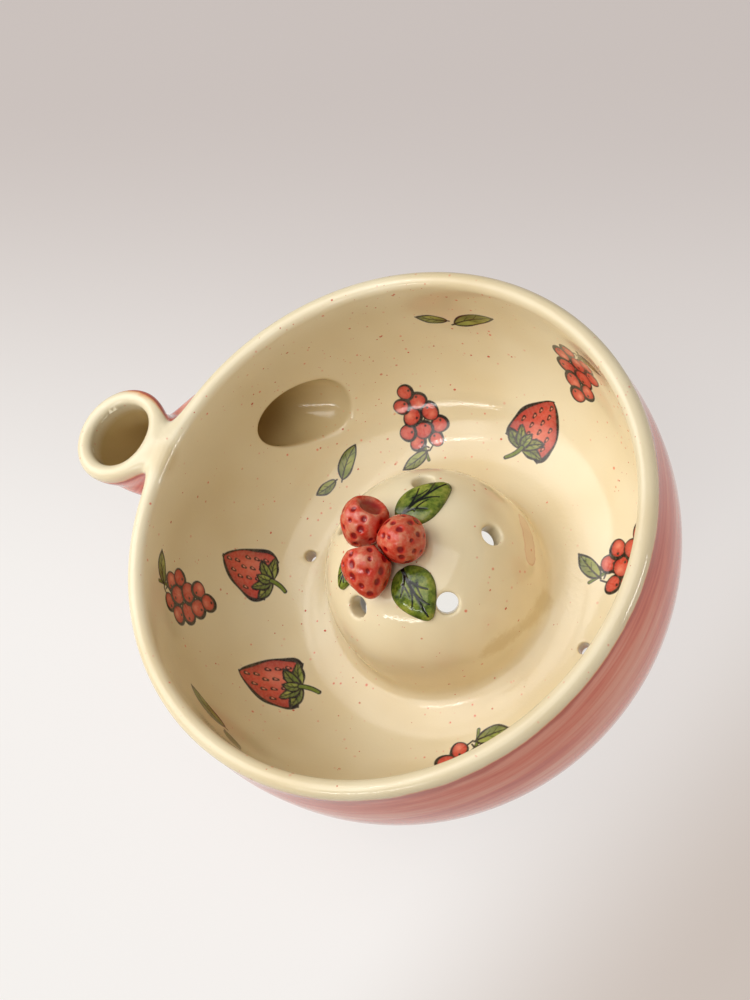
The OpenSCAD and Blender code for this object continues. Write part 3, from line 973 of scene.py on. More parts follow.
@dataclass(frozen=True)
class Berry:
    """One sculpted strawberry with a hollow stem end and seed pits.

    Each row of pits is its angle from the stem end in degrees and its number of pits.
    """

    node: str
    place: Place
    stem: Point
    taper: float
    wide: float = 16.8
    long: float = 19.5
    sunk: float = 1.1
    hollow: float = 3.4
    hollow_spread: float = 25.0
    pit_r: float = 1.08
    pit_long: float = 1.25
    pit_depth: float = 0.65
    rows: tuple[tuple[float, int], ...] = ((48, 7), (72, 9), (97, 9), (122, 7), (147, 4))
    clearance: float = 0.12
    press_reach: float = 1.6
    seat_reach: float = 1.2
    rings: int = 119
    sides: int = 150

    def middle(self, dome: DomeForm) -> Array:
        """Middle of the berry over the dome."""
        return np.array([*self.place, dome.top_z(math.hypot(*self.place)) + self.wide / 2 - self.sunk])

    def pits(self, a: Array, turn: Array, r: Array) -> Array:
        """How deep places lie in the seed pits, from 0 to 1.

        Args:
            a: angles from the stem end, in degrees.
            turn: angles round the berry, in degrees.
            r: distances from its axis.

        Returns:
            The shares of a pit's depth.
        """
        total = np.zeros_like(a)
        for row, (row_a, count) in enumerate(self.rows):
            step = 360 / count
            slot = np.round((turn - 2 * row_a) / step)
            stray = 0.16 * np.sin(slot * 2.4 + 1.7 * row)
            off = turn - 2 * row_a - step * (slot + 0.5 * stray)
            along = (a - row_a - 14 * stray) * self.long * math.pi / 360
            size = self.pit_r * (1 + 0.3 * np.sin(slot * 3.1 + 2 * row))
            gap = (along / (self.pit_long * size)) ** 2 + (off * r * math.pi / 180 / size) ** 2
            total += np.exp(-(gap**1.5))
        return np.minimum(total, 1)

    def surface(self, a: Array, turn: Array) -> tuple[Array, Array]:
        """The berry's skin about its own middle.

        Args:
            a: angles from the stem end, in degrees.
            turn: angles round the berry, in degrees.

        Returns:
            The points, and how deep each lies in a seed pit.
        """
        rad, spin = np.radians(a), np.radians(turn)
        stem = unit(np.array(self.stem))
        side = unit(np.cross(stem, [stem[1], stem[2], stem[0]]))
        fore = np.cross(side, stem)
        lumps = 1 + 0.018 * np.sin(3 * spin + 2.2 * rad) + 0.014 * np.sin(5 * spin - 3.1 * rad)
        wide = self.wide / 2 * np.sin(rad) * (1 + self.taper * np.cos(rad)) * lumps
        high = self.long / 2 * np.cos(rad) - self.hollow * np.exp(-((a / self.hollow_spread) ** 4))
        pit = self.pits(a, turn, wide)
        slant = np.arctan2(high, wide)
        wide = wide - self.pit_depth * pit * np.cos(slant)
        high = high - self.pit_depth * pit * np.sin(slant)
        ring = np.cos(spin)[:, None] * side + np.sin(spin)[:, None] * fore
        ends = np.array([[self.long / 2 - self.hollow], [-self.long / 2]]) * stem
        return np.concatenate([wide[:, None] * ring + high[:, None] * stem, ends]), np.append(pit, [0, 0])

    def press(self, points: Array, dome: DomeForm, others: Sequence["Berry"]) -> tuple[Array, Array]:
        """Presses the berry flat where it meets the other berries and the dome.

        Args:
            points: its skin.
            dome: the dome that it sits on.
            others: the other berries.

        Returns:
            The pressed points, and how close each is to a contact, from 0 to 1.
        """
        close = np.zeros(len(points))
        for other in others:
            way = unit(other.middle(dome) - self.middle(dome))
            halfway = (self.middle(dome) + other.middle(dome)) / 2
            over = (points - halfway) @ way + self.clearance
            close = np.maximum(close, smooth_step(over, -self.press_reach, 0.0))
            points = points - np.maximum(over, 0)[:, None] * way
        floor = dome.top_z(np.hypot(points[:, 0], points[:, 1])) + self.clearance
        points[:, 2] = np.maximum(points[:, 2], floor)
        seated = smooth_step(floor + self.seat_reach - points[:, 2], 0.0, self.seat_reach)
        return points, np.maximum(close, seated)

    def build(self, dome: DomeForm, others: Sequence["Berry"]) -> Object:
        """Makes the berry.

        Args:
            dome: the dome that it sits on.
            others: the other berries.

        Returns:
            The linked object.
        """
        rows = np.linspace(0, 180, self.rings + 2)[1:-1]
        turns = np.arange(self.sides) * 360 / self.sides
        a, turn = (v.ravel() for v in np.meshgrid(rows, turns, indexing="ij"))
        points, pit = self.surface(a, turn)
        points, press = self.press(points + self.middle(dome), dome, others)
        stem_end = np.append(smooth_step(self.hollow_spread - a, -1, 6), [1, 0])
        marks = {"pit": pit, "stem_end": stem_end, "press": press}
        return Skin(points, ball_faces(self.rings, self.sides)).to_object(f"glazed_{self.node}", marks)


@dataclass(frozen=True)
class Leaf:
    """One sculpted leaf laid over the dome, with painted veins in shallow grooves.

    Each vein is its start and its end, in shares along and across the leaf, and its heft.
    """

    node: str
    stem: Array
    tip: Array
    wide: float
    thick: float = 2.3
    edge: float = 1.1
    groove: float = 0.1
    ripple: float = 0.105
    sunk: float = 0.35
    veins: tuple[tuple[float, float, float, float, float], ...] = (
        (0.0, 0.0, 0.93, 0.03, 1.25), (0.14, 0.0, 0.46, -0.6, 0.8), (0.38, 0.0, 0.72, -0.55, 0.75),
        (0.24, 0.0, 0.58, 0.62, 0.8), (0.47, 0.0, 0.8, 0.5, 0.65),
        (0.3, -0.3, 0.56, -0.28, 0.55), (0.41, 0.31, 0.66, 0.24, 0.55))
    vein_bow: float = 0.08
    vein_soft: float = 0.3
    lengthwise: int = 130
    across: int = 84

    @property
    def run(self) -> float:
        """Length of the leaf."""
        return float(np.linalg.norm(self.tip - self.stem))

    def plan(self, u: Array | float, v: Array | float) -> tuple[Array, Array]:
        """Places on the leaf laid flat: how far along it, and how far to its left."""
        outline = 0.12 + 0.88 * np.sin(math.pi * u**0.8) ** 0.75
        return u * self.run, v * outline * self.wide / 2

    def vein_mark(self, u: Array, v: Array) -> Array:
        """Strength of the painted veins, from 0 to 1.

        Args:
            u: places along the leaf, from 0 to 1.
            v: places across it, from -1 to 1.

        Returns:
            The strengths.
        """
        x, y = self.plan(u, v)
        best = np.zeros_like(x)
        for u0, v0, u1, v1, heft in self.veins:
            a = np.array(self.plan(u0, v0))
            way = np.array(self.plan(u1, v1)) - a
            t = np.clip(((x - a[0]) * way[0] + (y - a[1]) * way[1]) / (way @ way), 0, 1)
            bow = self.vein_bow * np.sin(math.pi * t) * np.sign(v1 if abs(v1) > 0.1 else 0)
            gap = np.hypot(x - a[0] - t * way[0] - bow * way[1], y - a[1] - t * way[1] + bow * way[0])
            half = (self.wide / 14) ** 0.5 * heft * (0.42 - 0.28 * t)
            best = np.maximum(best, fade(gap, half, half + self.vein_soft))
        return best

    def lift(self, u: Array, v: Array, vein: Array) -> Array:
        """Heights of the leaf's skin over the dome.

        Args:
            u: places along the leaf, from 0 to 1.
            v: places across it, from -1 to 1.
            vein: strength of the veins there.

        Returns:
            The heights.
        """
        ends = np.minimum(1, 4 * u * (1.1 - u))
        body = (1 - v * v) * ends
        round_ends = np.minimum(1, (14 * u) ** 0.5) * np.minimum(1, (14 * (1 - u)) ** 0.5)
        round_edge = (1 - np.abs(v) ** 7) ** 0.5 * round_ends
        fold = self.ripple * np.sin(7 * u + 2.5 * v) * body
        high = self.edge * round_edge + (self.thick - self.edge) * body + fold - self.groove * vein * ends
        return np.maximum(high, 0.02)

    def build(self, dome: DomeForm) -> Object:
        """Makes the leaf.

        Args:
            dome: the dome that it lies on.

        Returns:
            The linked object.
        """
        way = self.tip - self.stem
        side = np.array([-way[1], way[0]]) / self.run
        u, v = np.meshgrid(np.linspace(0, 1, self.lengthwise),
                           np.sin(np.radians(np.linspace(-90, 90, self.across))), indexing="ij")
        flat = self.stem + u[..., None] * way + self.plan(u, v)[1][..., None] * side
        vein = self.vein_mark(u, v)
        over = dome.over(flat, self.lift(u, v, vein))
        under = dome.over(flat, -self.sunk)
        used = np.ones(u.shape, bool)
        border = np.zeros(u.shape, bool)
        border[[0, -1], :] = border[:, [0, -1]] = True
        points = np.concatenate([over.reshape(-1, 3), under[~border]])
        inner = ~border.ravel()
        marks = {"vein": twice(vein.ravel(), inner), "run": twice(u.ravel(), inner),
                 "edge": twice(smooth_step(np.abs(v), 0.86, 1.0).ravel(), inner)}
        return Skin(points, sheet_faces(used[1:, 1:], used, border)).to_object(f"glazed_{self.node}", marks)


@dataclass
class Canvas:
    """Paint laid on a flat sheet of points, in millimetres."""

    x: Array
    y: Array
    colour: Array = field(init=False)
    cover: Array = field(init=False)

    def __post_init__(self) -> None:
        """Starts with bare glaze."""
        self.colour = np.ones((len(self.x), 3))
        self.cover = np.zeros(len(self.x))

    def lay(self, mask: Array, colour: Array) -> None:
        """Lays a colour over what is there.

        Args:
            mask: how much of it covers each point, from 0 to 1.
            colour: one linear colour, or one for each point.
        """
        total = mask + self.cover * (1 - mask)
        share = (mask / np.maximum(total, 1e-6))[:, None]
        self.colour = colour * share + self.colour * (1 - share)
        self.cover = total

    def patchy(self, seed: float, scale: float) -> Array:
        """Uneven strength of a brush.

        Args:
            seed: varies the pattern.
            scale: its size.

        Returns:
            A share from 0 to 1 for each point.
        """
        x, y = self.x / scale + seed * 3.1, self.y / scale - seed * 1.7
        wave = np.sin(x + 1.9 * np.sin(0.8 * y + seed)) + np.sin(1.3 * y + 1.6 * np.sin(0.9 * x - seed))
        return 0.5 + 0.25 * wave

    def line(self, a: Place | Array, b: Place | Array, half: float, thin: float, bow: float = 0.0) -> Array:
        """Mask of one brush stroke.

        Args:
            a: its start.
            b: its end.
            half: half its width at the start.
            thin: half its width at the end.
            bow: how far its middle bows to the left.

        Returns:
            The mask, from 0 to 1.
        """
        a, b = np.array(a, float), np.array(b, float)
        way = b - a
        t = np.clip(((self.x - a[0]) * way[0] + (self.y - a[1]) * way[1]) / (way @ way), 0, 1)
        left = np.array([-way[1], way[0]]) / np.linalg.norm(way)
        arc = 4 * bow * t * (1 - t)
        gap = np.hypot(self.x - a[0] - t * way[0] - arc * left[0], self.y - a[1] - t * way[1] - arc * left[1])
        width = half + (thin - half) * t
        return fade(gap, width - 0.12, width + 0.16)


@dataclass(frozen=True)
class Inks:
    """Colours of the painted sprigs, linear."""

    line: Array = field(default_factory=lambda: ink(30, 16, 12))
    red: Array = field(default_factory=lambda: ink(206, 56, 40))
    deep: Array = field(default_factory=lambda: ink(156, 24, 24))
    pink: Array = field(default_factory=lambda: ink(238, 140, 112))
    green: Array = field(default_factory=lambda: ink(108, 126, 34))
    shade: Array = field(default_factory=lambda: ink(62, 80, 20))
    lime: Array = field(default_factory=lambda: ink(164, 170, 72))


@dataclass
class Sprig:
    """Draws one painted motif on a canvas."""

    canvas: Canvas
    inks: Inks
    seed: float

    def outline(self, gap: Array, width: Array) -> None:
        """Draws a dark line where the distance from a form's edge is under width."""
        self.canvas.lay(fade(np.abs(gap), width - 0.1, width + 0.16), self.inks.line)

    def stroke(self, a: Place | Array, b: Place | Array, half: float, thin: float, bow: float = 0.0) -> None:
        """Draws a dark stroke of the brush, as Canvas.line does."""
        self.canvas.lay(self.canvas.line(a, b, half, thin, bow), self.inks.line)

    def fruit(self, gap: Array, edge: Array, light: Array) -> None:
        """Fills a red form, deep along its edge and pink in the light.

        Args:
            gap: distance outside the form.
            edge: share of the deep red at each point.
            light: share of the pink at each point.
        """
        tone = self.inks.red * (1 - edge) + self.inks.deep * edge
        self.canvas.lay(0.96 * fade(gap, -0.2, 0.25), tone * (1 - light) + self.inks.pink * light)

    def leaf(self, base: Place, tip: Place, wide: float, seed: float) -> None:
        """Draws a lance leaf with a dark midrib, side veins and outline.

        Args:
            base: its stem end.
            tip: its tip.
            wide: its width.
            seed: varies its edge and its tone.
        """
        c = self.canvas
        a, b = np.array(base), np.array(tip)
        run = float(np.linalg.norm(b - a))
        way = (b - a) / run
        along = (c.x - a[0]) * way[0] + (c.y - a[1]) * way[1]
        across = -(c.x - a[0]) * way[1] + (c.y - a[1]) * way[0]
        across = across - 0.1 * wide * np.sin(math.pi * along / run)
        t = np.clip(along / run, 0, 1)
        half = wide / 2 * np.sin(math.pi * t**0.85) ** 0.8 * (1 + 0.05 * np.sin(9 * t + seed))
        gap = np.maximum(np.abs(across) - half, np.maximum(-along, along - run))
        tone = c.patchy(seed + self.seed, 1.7)[:, None]
        green = self.inks.green * (1 - tone) + self.inks.lime * tone
        dark = smooth_step(across, -0.1 * wide, 0.25 * wide)[:, None] * 0.55
        c.lay(0.94 * fade(gap, -0.15, 0.2), green * (1 - dark) + self.inks.shade * dark)
        width = 0.3 + 0.1 * np.sin(7 * t + seed)
        c.lay(fade(np.abs(gap + 0.1), width - 0.08, width + 0.18), self.inks.line)
        self.stroke(a - 0.06 * run * way, a + 0.93 * run * way, 0.34, 0.16, 0.1 * wide)
        left = np.array([-way[1], way[0]])
        for share, sign in ((0.25, 1), (0.38, -1), (0.5, 1), (0.64, -1)):
            start = a + way * run * share + left * 0.1 * wide * math.sin(math.pi * share)
            end = start + way * run * 0.17 + left * sign * wide * 0.27
            c.lay(c.line(start, end, 0.17, 0.1) * 0.9, self.inks.shade * 0.5)

    def currant(self, x: float, y: float, r: float, seed: float) -> None:
        """Draws one round currant with an uneven outline and a dark dot.

        Args:
            x: its middle, to the right.
            y: its middle, upwards.
            r: its radius.
            seed: varies its outline and where its light falls.
        """
        c = self.canvas
        lean = 0.6 + 1.3 * math.sin(seed * 2.7)
        lit = np.array([math.cos(lean), math.sin(lean)]) * r
        turn = np.arctan2(c.y - y, c.x - x)
        wobble = 1 + 0.05 * np.sin(2 * turn + seed) + 0.03 * np.sin(3 * turn - seed)
        gap = np.hypot(c.x - x, c.y - y) - r * wobble
        off = (c.x - x - 0.35 * lit[0]) ** 2 + (c.y - y - 0.35 * lit[1]) ** 2
        light = np.exp(-off / (0.42 * r) ** 2)[:, None] * (0.45 + 0.35 * math.sin(seed * 5.3))
        edge = smooth_step(gap, -0.55 * r, 0)[:, None] * (0.45 + 0.4 * c.patchy(seed, 1.3)[:, None])
        self.fruit(gap, edge, light)
        self.outline(gap, 0.4 + 0.22 * np.cos(turn - lean - 2.8))
        c.lay(fade(np.hypot(c.x - x + 0.5 * lit[0], c.y - y + 0.5 * lit[1]), 0.32, 0.6), self.inks.line)

    def currants(self) -> None:
        """Draws a hanging bunch of currants with one leaf."""
        top, foot = (1.5, 15.0), (-0.5, -6.0)
        self.stroke(top, foot, 0.62, 0.4, 1.0)
        self.canvas.lay(self.canvas.line(top, foot, 0.34, 0.2, 1.0), self.inks.green)
        self.leaf((1.4, 11.5), (11.5, 14.2), 5.2, 1.3)
        # Each currant: its middle and its radius.
        bunch = ((-3.3, 8.2, 2.5), (3.6, 7.0, 2.7), (-6.2, 3.4, 2.8), (0.2, 3.6, 3.0), (6.0, 2.4, 2.7),
                 (-4.4, -2.0, 3.0), (2.4, -2.3, 3.1), (-1.6, -7.0, 2.9), (4.6, -7.2, 2.6), (1.2, -11.6, 2.6))
        for x, y, _ in bunch:
            self.stroke((0.3, y + 3.4), (x, y), 0.3, 0.26)
        for number, (x, y, r) in enumerate(bunch):
            self.currant(x, y, r * 1.08, self.seed + 1.37 * number)

    def strawberry(self) -> None:
        """Draws a strawberry with rows of seeds and a leafy cap."""
        c = self.canvas
        top, tall, wide, spacing = 6.5, 19.0, 17.5, 3.6
        levels = top - 4.0 - 3.1 * np.arange(5)
        heights = np.concatenate([c.y, levels])
        t = np.clip((top - heights) / tall, 0, 1)
        widths = wide / 2 * np.sin(math.pi * (0.12 + 0.88 * t) ** 0.62) ** 0.72
        t, half, reaches = t[: len(c.y)], widths[: len(c.y)], widths[len(c.y) :] - 1.6
        half = half * (1 + 0.03 * np.sin(11 * t + self.seed))
        gap = np.maximum((np.abs(c.x) - half) * 0.8, np.maximum(c.y - top, top - tall - c.y))
        spot = np.exp(-((c.x + 2.0) ** 2 / 14 + (c.y - 0.5) ** 2 / 30))[:, None]
        edge = smooth_step(gap, -4.2, 0)[:, None] * (0.4 + 0.5 * c.patchy(self.seed, 2.4)[:, None])
        self.fruit(gap, edge, spot * (0.35 + 0.4 * c.patchy(self.seed + 2, 1.8)[:, None]))
        for row, (y, reach) in enumerate(zip(levels, reaches)):
            count = max(1, round(reach * 2 / spacing))
            for k in range(count):
                x = (k - (count - 1) / 2) * spacing + (0.5 if row % 2 else -0.4)
                self.stroke((x, y + 0.75), (x, y - 0.55), 0.36, 0.62)
                c.lay(c.line((x - 0.1, y + 0.25), (x - 0.1, y - 0.3), 0.12, 0.24), self.inks.pink)
        self.outline(gap, 0.42 + 0.16 * np.sin(9 * t + np.sign(c.x) + self.seed))
        for tip in ((-8.4, 5.0), (8.2, 4.6), (-5.2, 0.9), (5.0, 1.2), (0.2, 1.6)):
            self.leaf((0.0, 7.2), tip, 3.6, tip[0])
        self.stroke((0.0, 7.0), (1.8, 12.5), 0.95, 0.8, 0.5)
        c.lay(c.line((0.0, 7.0), (1.8, 12.3), 0.55, 0.45, 0.5), self.inks.green)

    def leaf_pair(self) -> None:
        """Draws two loose leaves."""
        self.leaf((-0.6, -1.2), (15.5, 1.6), 6.2, 0.4)
        self.leaf((-2.0, 1.2), (-11.0, 6.6), 4.6, 2.1)

    def draw(self, motif: Motif) -> None:
        """Draws the chosen motif."""
        ways = {Motif.CURRANTS: self.currants, Motif.STRAWBERRY: self.strawberry,
                Motif.LEAF_PAIR: self.leaf_pair}
        ways[motif]()


@dataclass(frozen=True)
class PaintedMotif:
    """A painted motif on the inside of the bowl, as a very thin skin in the glaze."""

    name: str
    motif: Motif
    turn: float
    run: float
    lean: float
    size: float
    sheet: float = 34.0
    cell: float = 0.26
    least_cover: float = 0.02
    proud: float = 0.06
    edge_sunk: float = 0.04
    back_sunk: float = 0.12

    def laid(self, body: GlazedBowl, x: Array, y: Array) -> Array:
        """Points of the sheet laid on the inside of the bowl, near its surface.

        Args:
            body: the bowl that carries it.
            x: places on the sheet to the right.
            y: places on the sheet upwards.

        Returns:
            The points.
        """
        lean = math.radians(self.lean)
        right = (x * math.cos(lean) - y * math.sin(lean)) * self.size
        along = (x * math.sin(lean) + y * math.cos(lean)) * self.size
        profile = body.bowl.inner_line()
        r, z = (np.interp(self.run + along, profile[:, 2], profile[:, n]) for n in (0, 1))
        turn = math.radians(self.turn) - right / r
        return np.stack([r * np.cos(turn), r * np.sin(turn), z], -1)

    def build(self, body: GlazedBowl, seed: float) -> Object:
        """Makes the skin with its paint, cut out one cell outside what is painted.

        Args:
            body: the bowl that carries it.
            seed: varies the brushwork.

        Returns:
            The linked object.
        """
        count = int(self.sheet / self.cell)
        line = (np.arange(count) - (count - 1) / 2) * self.cell
        x, y = np.meshgrid(line, line, indexing="ij")
        canvas = Canvas(x.ravel(), y.ravel())
        Sprig(canvas, Inks(), seed).draw(self.motif)
        grown = (canvas.cover > self.least_cover).reshape(x.shape)
        for axis in (0, 1):
            grown = grown | np.roll(grown, 1, axis) | np.roll(grown, -1, axis)
        cell = grown[:-1, :-1] & grown[1:, :-1] & grown[1:, 1:] & grown[:-1, 1:]
        touch = np.zeros(x.shape, int)
        for i, j in ((0, 0), (1, 0), (1, 1), (0, 1)):
            touch[i : i + cell.shape[0], j : j + cell.shape[1]] += cell
        used, border = touch > 0, (touch > 0) & (touch < 4)
        base = settle(body.shape, self.laid(body, x, y)[used], 2)
        normal = unit(slopes(body.shape, base))
        inner = ~border[used]
        over = base + np.where(inner, self.proud, -self.edge_sunk)[:, None] * normal
        points = np.concatenate([over, (base - self.back_sunk * normal)[inner]])
        normals = np.concatenate([normal, -normal[inner]])
        cover = canvas.cover.reshape(x.shape)[used]
        colour = canvas.colour.reshape(*x.shape, 3)[used]
        paint = np.column_stack([colour, np.ones(len(colour))])
        marks = {"cover": twice(cover, inner), "paint": twice(paint, inner)}
        return Skin(points, sheet_faces(cell, used, border), normals).to_object(self.name, marks)


@dataclass(frozen=True)
class Nodes:
    """Short helpers for a node tree."""

    tree: bpy.types.NodeTree

    def add(self, kind: str, inputs: dict | None = None, **settings: object) -> bpy.types.Node:
        """Adds a node.

        Args:
            kind: the node's type, such as ShaderNodeMath.
            inputs: for its sockets, by name or number, a value or another node's socket.
            settings: the node's own settings.

        Returns:
            The node.
        """
        node = self.tree.nodes.new(kind)
        for key, value in settings.items():
            setattr(node, key, value)
        for key, value in (inputs or {}).items():
            if isinstance(value, Socket):
                self.tree.links.new(value, node.inputs[key])
            else:
                node.inputs[key].default_value = value
        return node

    def math(self, operation: str, *values: object) -> Socket:
        """Adds a Math node and returns its result."""
        return self.add("ShaderNodeMath", dict(enumerate(values)), operation=operation).outputs[0]

    def plus(self, a: object, b: object) -> Socket:
        """Sum of two values."""
        return self.math("ADD", a, b)

    def minus(self, a: object, b: object) -> Socket:
        """The first value less the second."""
        return self.math("SUBTRACT", a, b)

    def times(self, a: object, b: object) -> Socket:
        """Product of two values."""
        return self.math("MULTIPLY", a, b)

    def mix(self, share: object, a: object, b: object) -> Socket:
        """Mixes two colours by a share, whose sockets in the node are 6, 7 and 0."""
        return self.add("ShaderNodeMix", {0: share, 6: a, 7: b}, data_type="RGBA").outputs[2]

    def ramp(self, value: Socket, stops: Sequence[tuple[float, Colour]]) -> Socket:
        """Turns a value into a colour.

        Args:
            value: the value.
            stops: places from 0 to 1 and their colours.

        Returns:
            The colour's socket.
        """
        node = self.add("ShaderNodeValToRGB", {0: value})
        elements = node.color_ramp.elements
        while len(elements) < len(stops):
            elements.new(0.5)
        for element, (place, colour) in zip(elements, stops):
            element.position = place
            element.color = colour
        return node.outputs[0]

    def span(self, value: object, low: float, high: float, to_low: float = 0.0,
             to_high: float = 1.0) -> Socket:
        """Maps a value from one range to another, smoothly and clamped, and returns it."""
        return self.add("ShaderNodeMapRange", {0: value, 1: low, 2: high, 3: to_low, 4: to_high},
                        interpolation_type="SMOOTHSTEP").outputs[0]

    def noise(self, place: object, scale: float, detail: float = 3.0, rough: float = 0.55) -> Socket:
        """Noise at a place, from 0 to 1."""
        return self.add("ShaderNodeTexNoise", {"Vector": place, "Scale": scale, "Detail": detail,
                                               "Roughness": rough}).outputs["Fac"]

    def stretched(self, place: Socket, scale: Point) -> Socket:
        """Coordinates scaled apart along their axes."""
        return self.add("ShaderNodeVectorMath", {0: place, 1: scale}, operation="MULTIPLY").outputs[0]

    def apart(self, place: Socket) -> bpy.types.bpy_prop_collection:
        """The three parts of a place."""
        return self.add("ShaderNodeSeparateXYZ", {0: place}).outputs

    def place(self) -> Socket:
        """Object coordinates."""
        return self.add("ShaderNodeTexCoord").outputs["Object"]

    def mark(self, name: str, kind: str = "Fac") -> Socket:
        """A mark of the mesh's points, as a number, a Vector or a Color."""
        return self.add("ShaderNodeAttribute", attribute_name=name).outputs[kind]


def new_material(name: str) -> tuple[Material, Nodes, bpy.types.Node]:
    """Makes an empty material.

    Args:
        name: its name.

    Returns:
        The material, its node helpers and its shader.
    """
    material = bpy.data.materials.new(name)
    material.use_nodes = True
    return material, Nodes(material.node_tree), material.node_tree.nodes["Principled BSDF"]


@dataclass(frozen=True)
class ClearGlaze:
    """The clear gloss over everything: how smooth it is and how it ripples."""

    roughness: float = 0.07
    ripple: float = 0.05
    ripple_scale: float = 55.0
    pit: float = 0.02
    pit_scale: float = 900.0
    bump_height: float = 0.004
    bump_strength: float = 0.5

    def apply(self, nodes: Nodes, shader: bpy.types.Node, place: Socket) -> None:
        """Sets the gloss and the bump of a shader.

        Args:
            nodes: the node helpers.
            shader: the shader.
            place: Object coordinates.
        """
        shader.inputs["Roughness"].default_value = self.roughness
        slow = nodes.times(nodes.noise(place, self.ripple_scale, 1.0), self.ripple)
        fine = nodes.times(nodes.noise(place, self.pit_scale, 2.0), self.pit)
        bump = nodes.add("ShaderNodeBump", {"Height": nodes.plus(slow, fine), "Distance": self.bump_height,
                                            "Strength": self.bump_strength})
        nodes.tree.links.new(bump.outputs[0], shader.inputs["Normal"])


@dataclass(frozen=True)
class CreamGlaze:
    """Warm cream with faint drifts of tone and soft coral spots."""

    light: Colour = rgb(240, 228, 196)
    warm: Colour = rgb(230, 212, 172)
    blush: Colour = rgb(222, 176, 142)
    # Tan used for the painted shade in the spout's bore and on the web, and for the real stain on the dome.
    shade_and_stain_tan: Colour = rgb(210, 186, 134)
    rust: Colour = rgb(206, 150, 116)
    spot: Colour = rgb(228, 126, 96)
    spot_scale: float = 380.0
    spot_size: float = 0.3

    def spots(self, nodes: Nodes, place: Socket) -> Socket:
        """How strong the soft coral spots are at a place: they lie in drifts, most of them small.

        Args:
            nodes: the node helpers.
            place: Object coordinates.

        Returns:
            A share from 0 to 1.
        """
        cells = nodes.add("ShaderNodeTexVoronoi", {"Vector": place, "Scale": self.spot_scale})
        chance = nodes.apart(cells.outputs["Color"])
        drift = nodes.span(nodes.noise(place, 24.0, 1.0), 0.4, 0.62, 0.16, 1.0)
        kept = nodes.math("LESS_THAN", chance[1], drift)
        size = nodes.times(nodes.math("POWER", chance[0], 1.6), self.spot_size)
        inside = nodes.minus(nodes.times(size, kept), cells.outputs["Distance"])
        return nodes.times(nodes.span(inside, 0.0, 0.2), nodes.span(chance[2], 0.0, 1.0, 0.35, 0.95))

    def colour(self, nodes: Nodes, place: Socket) -> Socket:
        """Colour of the cream glaze.

        Args:
            nodes: the node helpers.
            place: Object coordinates.

        Returns:
            The colour's socket.
        """
        drift = nodes.span(nodes.noise(place, 18.0, 2.0), 0.3, 0.75)
        cream = nodes.mix(drift, self.light, self.warm)
        stain = nodes.span(nodes.noise(place, 31.0, 5.0, 0.65), 0.66, 0.8, 0.0, 0.35)
        return nodes.mix(self.spots(nodes, place), nodes.mix(stain, cream, self.blush), self.spot)


@dataclass(frozen=True)
class RoseWash:
    """Rose wash brushed round the outside, darkest in a line along its upper edge."""

    pale: Colour = rgb(236, 164, 140)
    rose: Colour = rgb(224, 122, 98)
    deep: Colour = rgb(198, 82, 64)
    edge: Colour = rgb(190, 76, 46)
    fringe: Colour = rgb(238, 176, 124)
    edge_width: float = 2.8
    broad_stroke: Point = (1.3, 1.3, 0.12)
    fine_stroke: Point = (2.2, 2.2, 0.6)

    def colour(self, nodes: Nodes, wash: Socket, strokes: Socket, place: Socket) -> Socket:
        """Colour of the wash.

        Args:
            nodes: the node helpers.
            wash: distance inside the wash's edge.
            strokes: coordinates along and across the brush strokes.
            place: Object coordinates.

        Returns:
            The colour's socket.
        """
        broad = nodes.noise(nodes.stretched(strokes, self.broad_stroke), 1.0, 3.0, 0.55)
        fine = nodes.noise(nodes.stretched(strokes, self.fine_stroke), 1.0, 3.0, 0.6)
        cloud = nodes.noise(place, 14.0, 2.0)
        tone = nodes.plus(nodes.times(broad, 0.55), nodes.times(fine, 0.3))
        tone = nodes.plus(tone, nodes.times(cloud, 0.25))
        stops = [(0.0, self.pale), (0.5, self.rose), (1.0, self.deep)]
        body = nodes.ramp(nodes.span(tone, 0.36, 0.74), stops)
        swell = nodes.span(nodes.noise(place, 16.0, 2.0), 0.45, 0.62, 1.0, 0.45)
        line = nodes.span(nodes.times(wash, swell), self.edge_width / 3, self.edge_width, 0.95, 0.0)
        return nodes.mix(line, body, self.edge)


@dataclass(frozen=True)
class Finish:
    """A finish of the clay: a pattern of colour under a clear gloss."""

    name: str
    gloss: ClearGlaze = ClearGlaze()

    def colour(self, nodes: Nodes, place: Socket) -> Socket:
        """Colour at a place, which each finish works out in its own way."""
        raise NotImplementedError

    def surface(self, nodes: Nodes, shader: bpy.types.Node, place: Socket) -> None:
        """Sets how the shader shines."""
        self.gloss.apply(nodes, shader, place)

    def build(self) -> Material:
        """Makes the material.

        Returns:
            The material.
        """
        material, nodes, shader = new_material(self.name)
        place = nodes.place()
        nodes.tree.links.new(self.colour(nodes, place), shader.inputs["Base Color"])
        self.surface(nodes, shader, place)
        return material


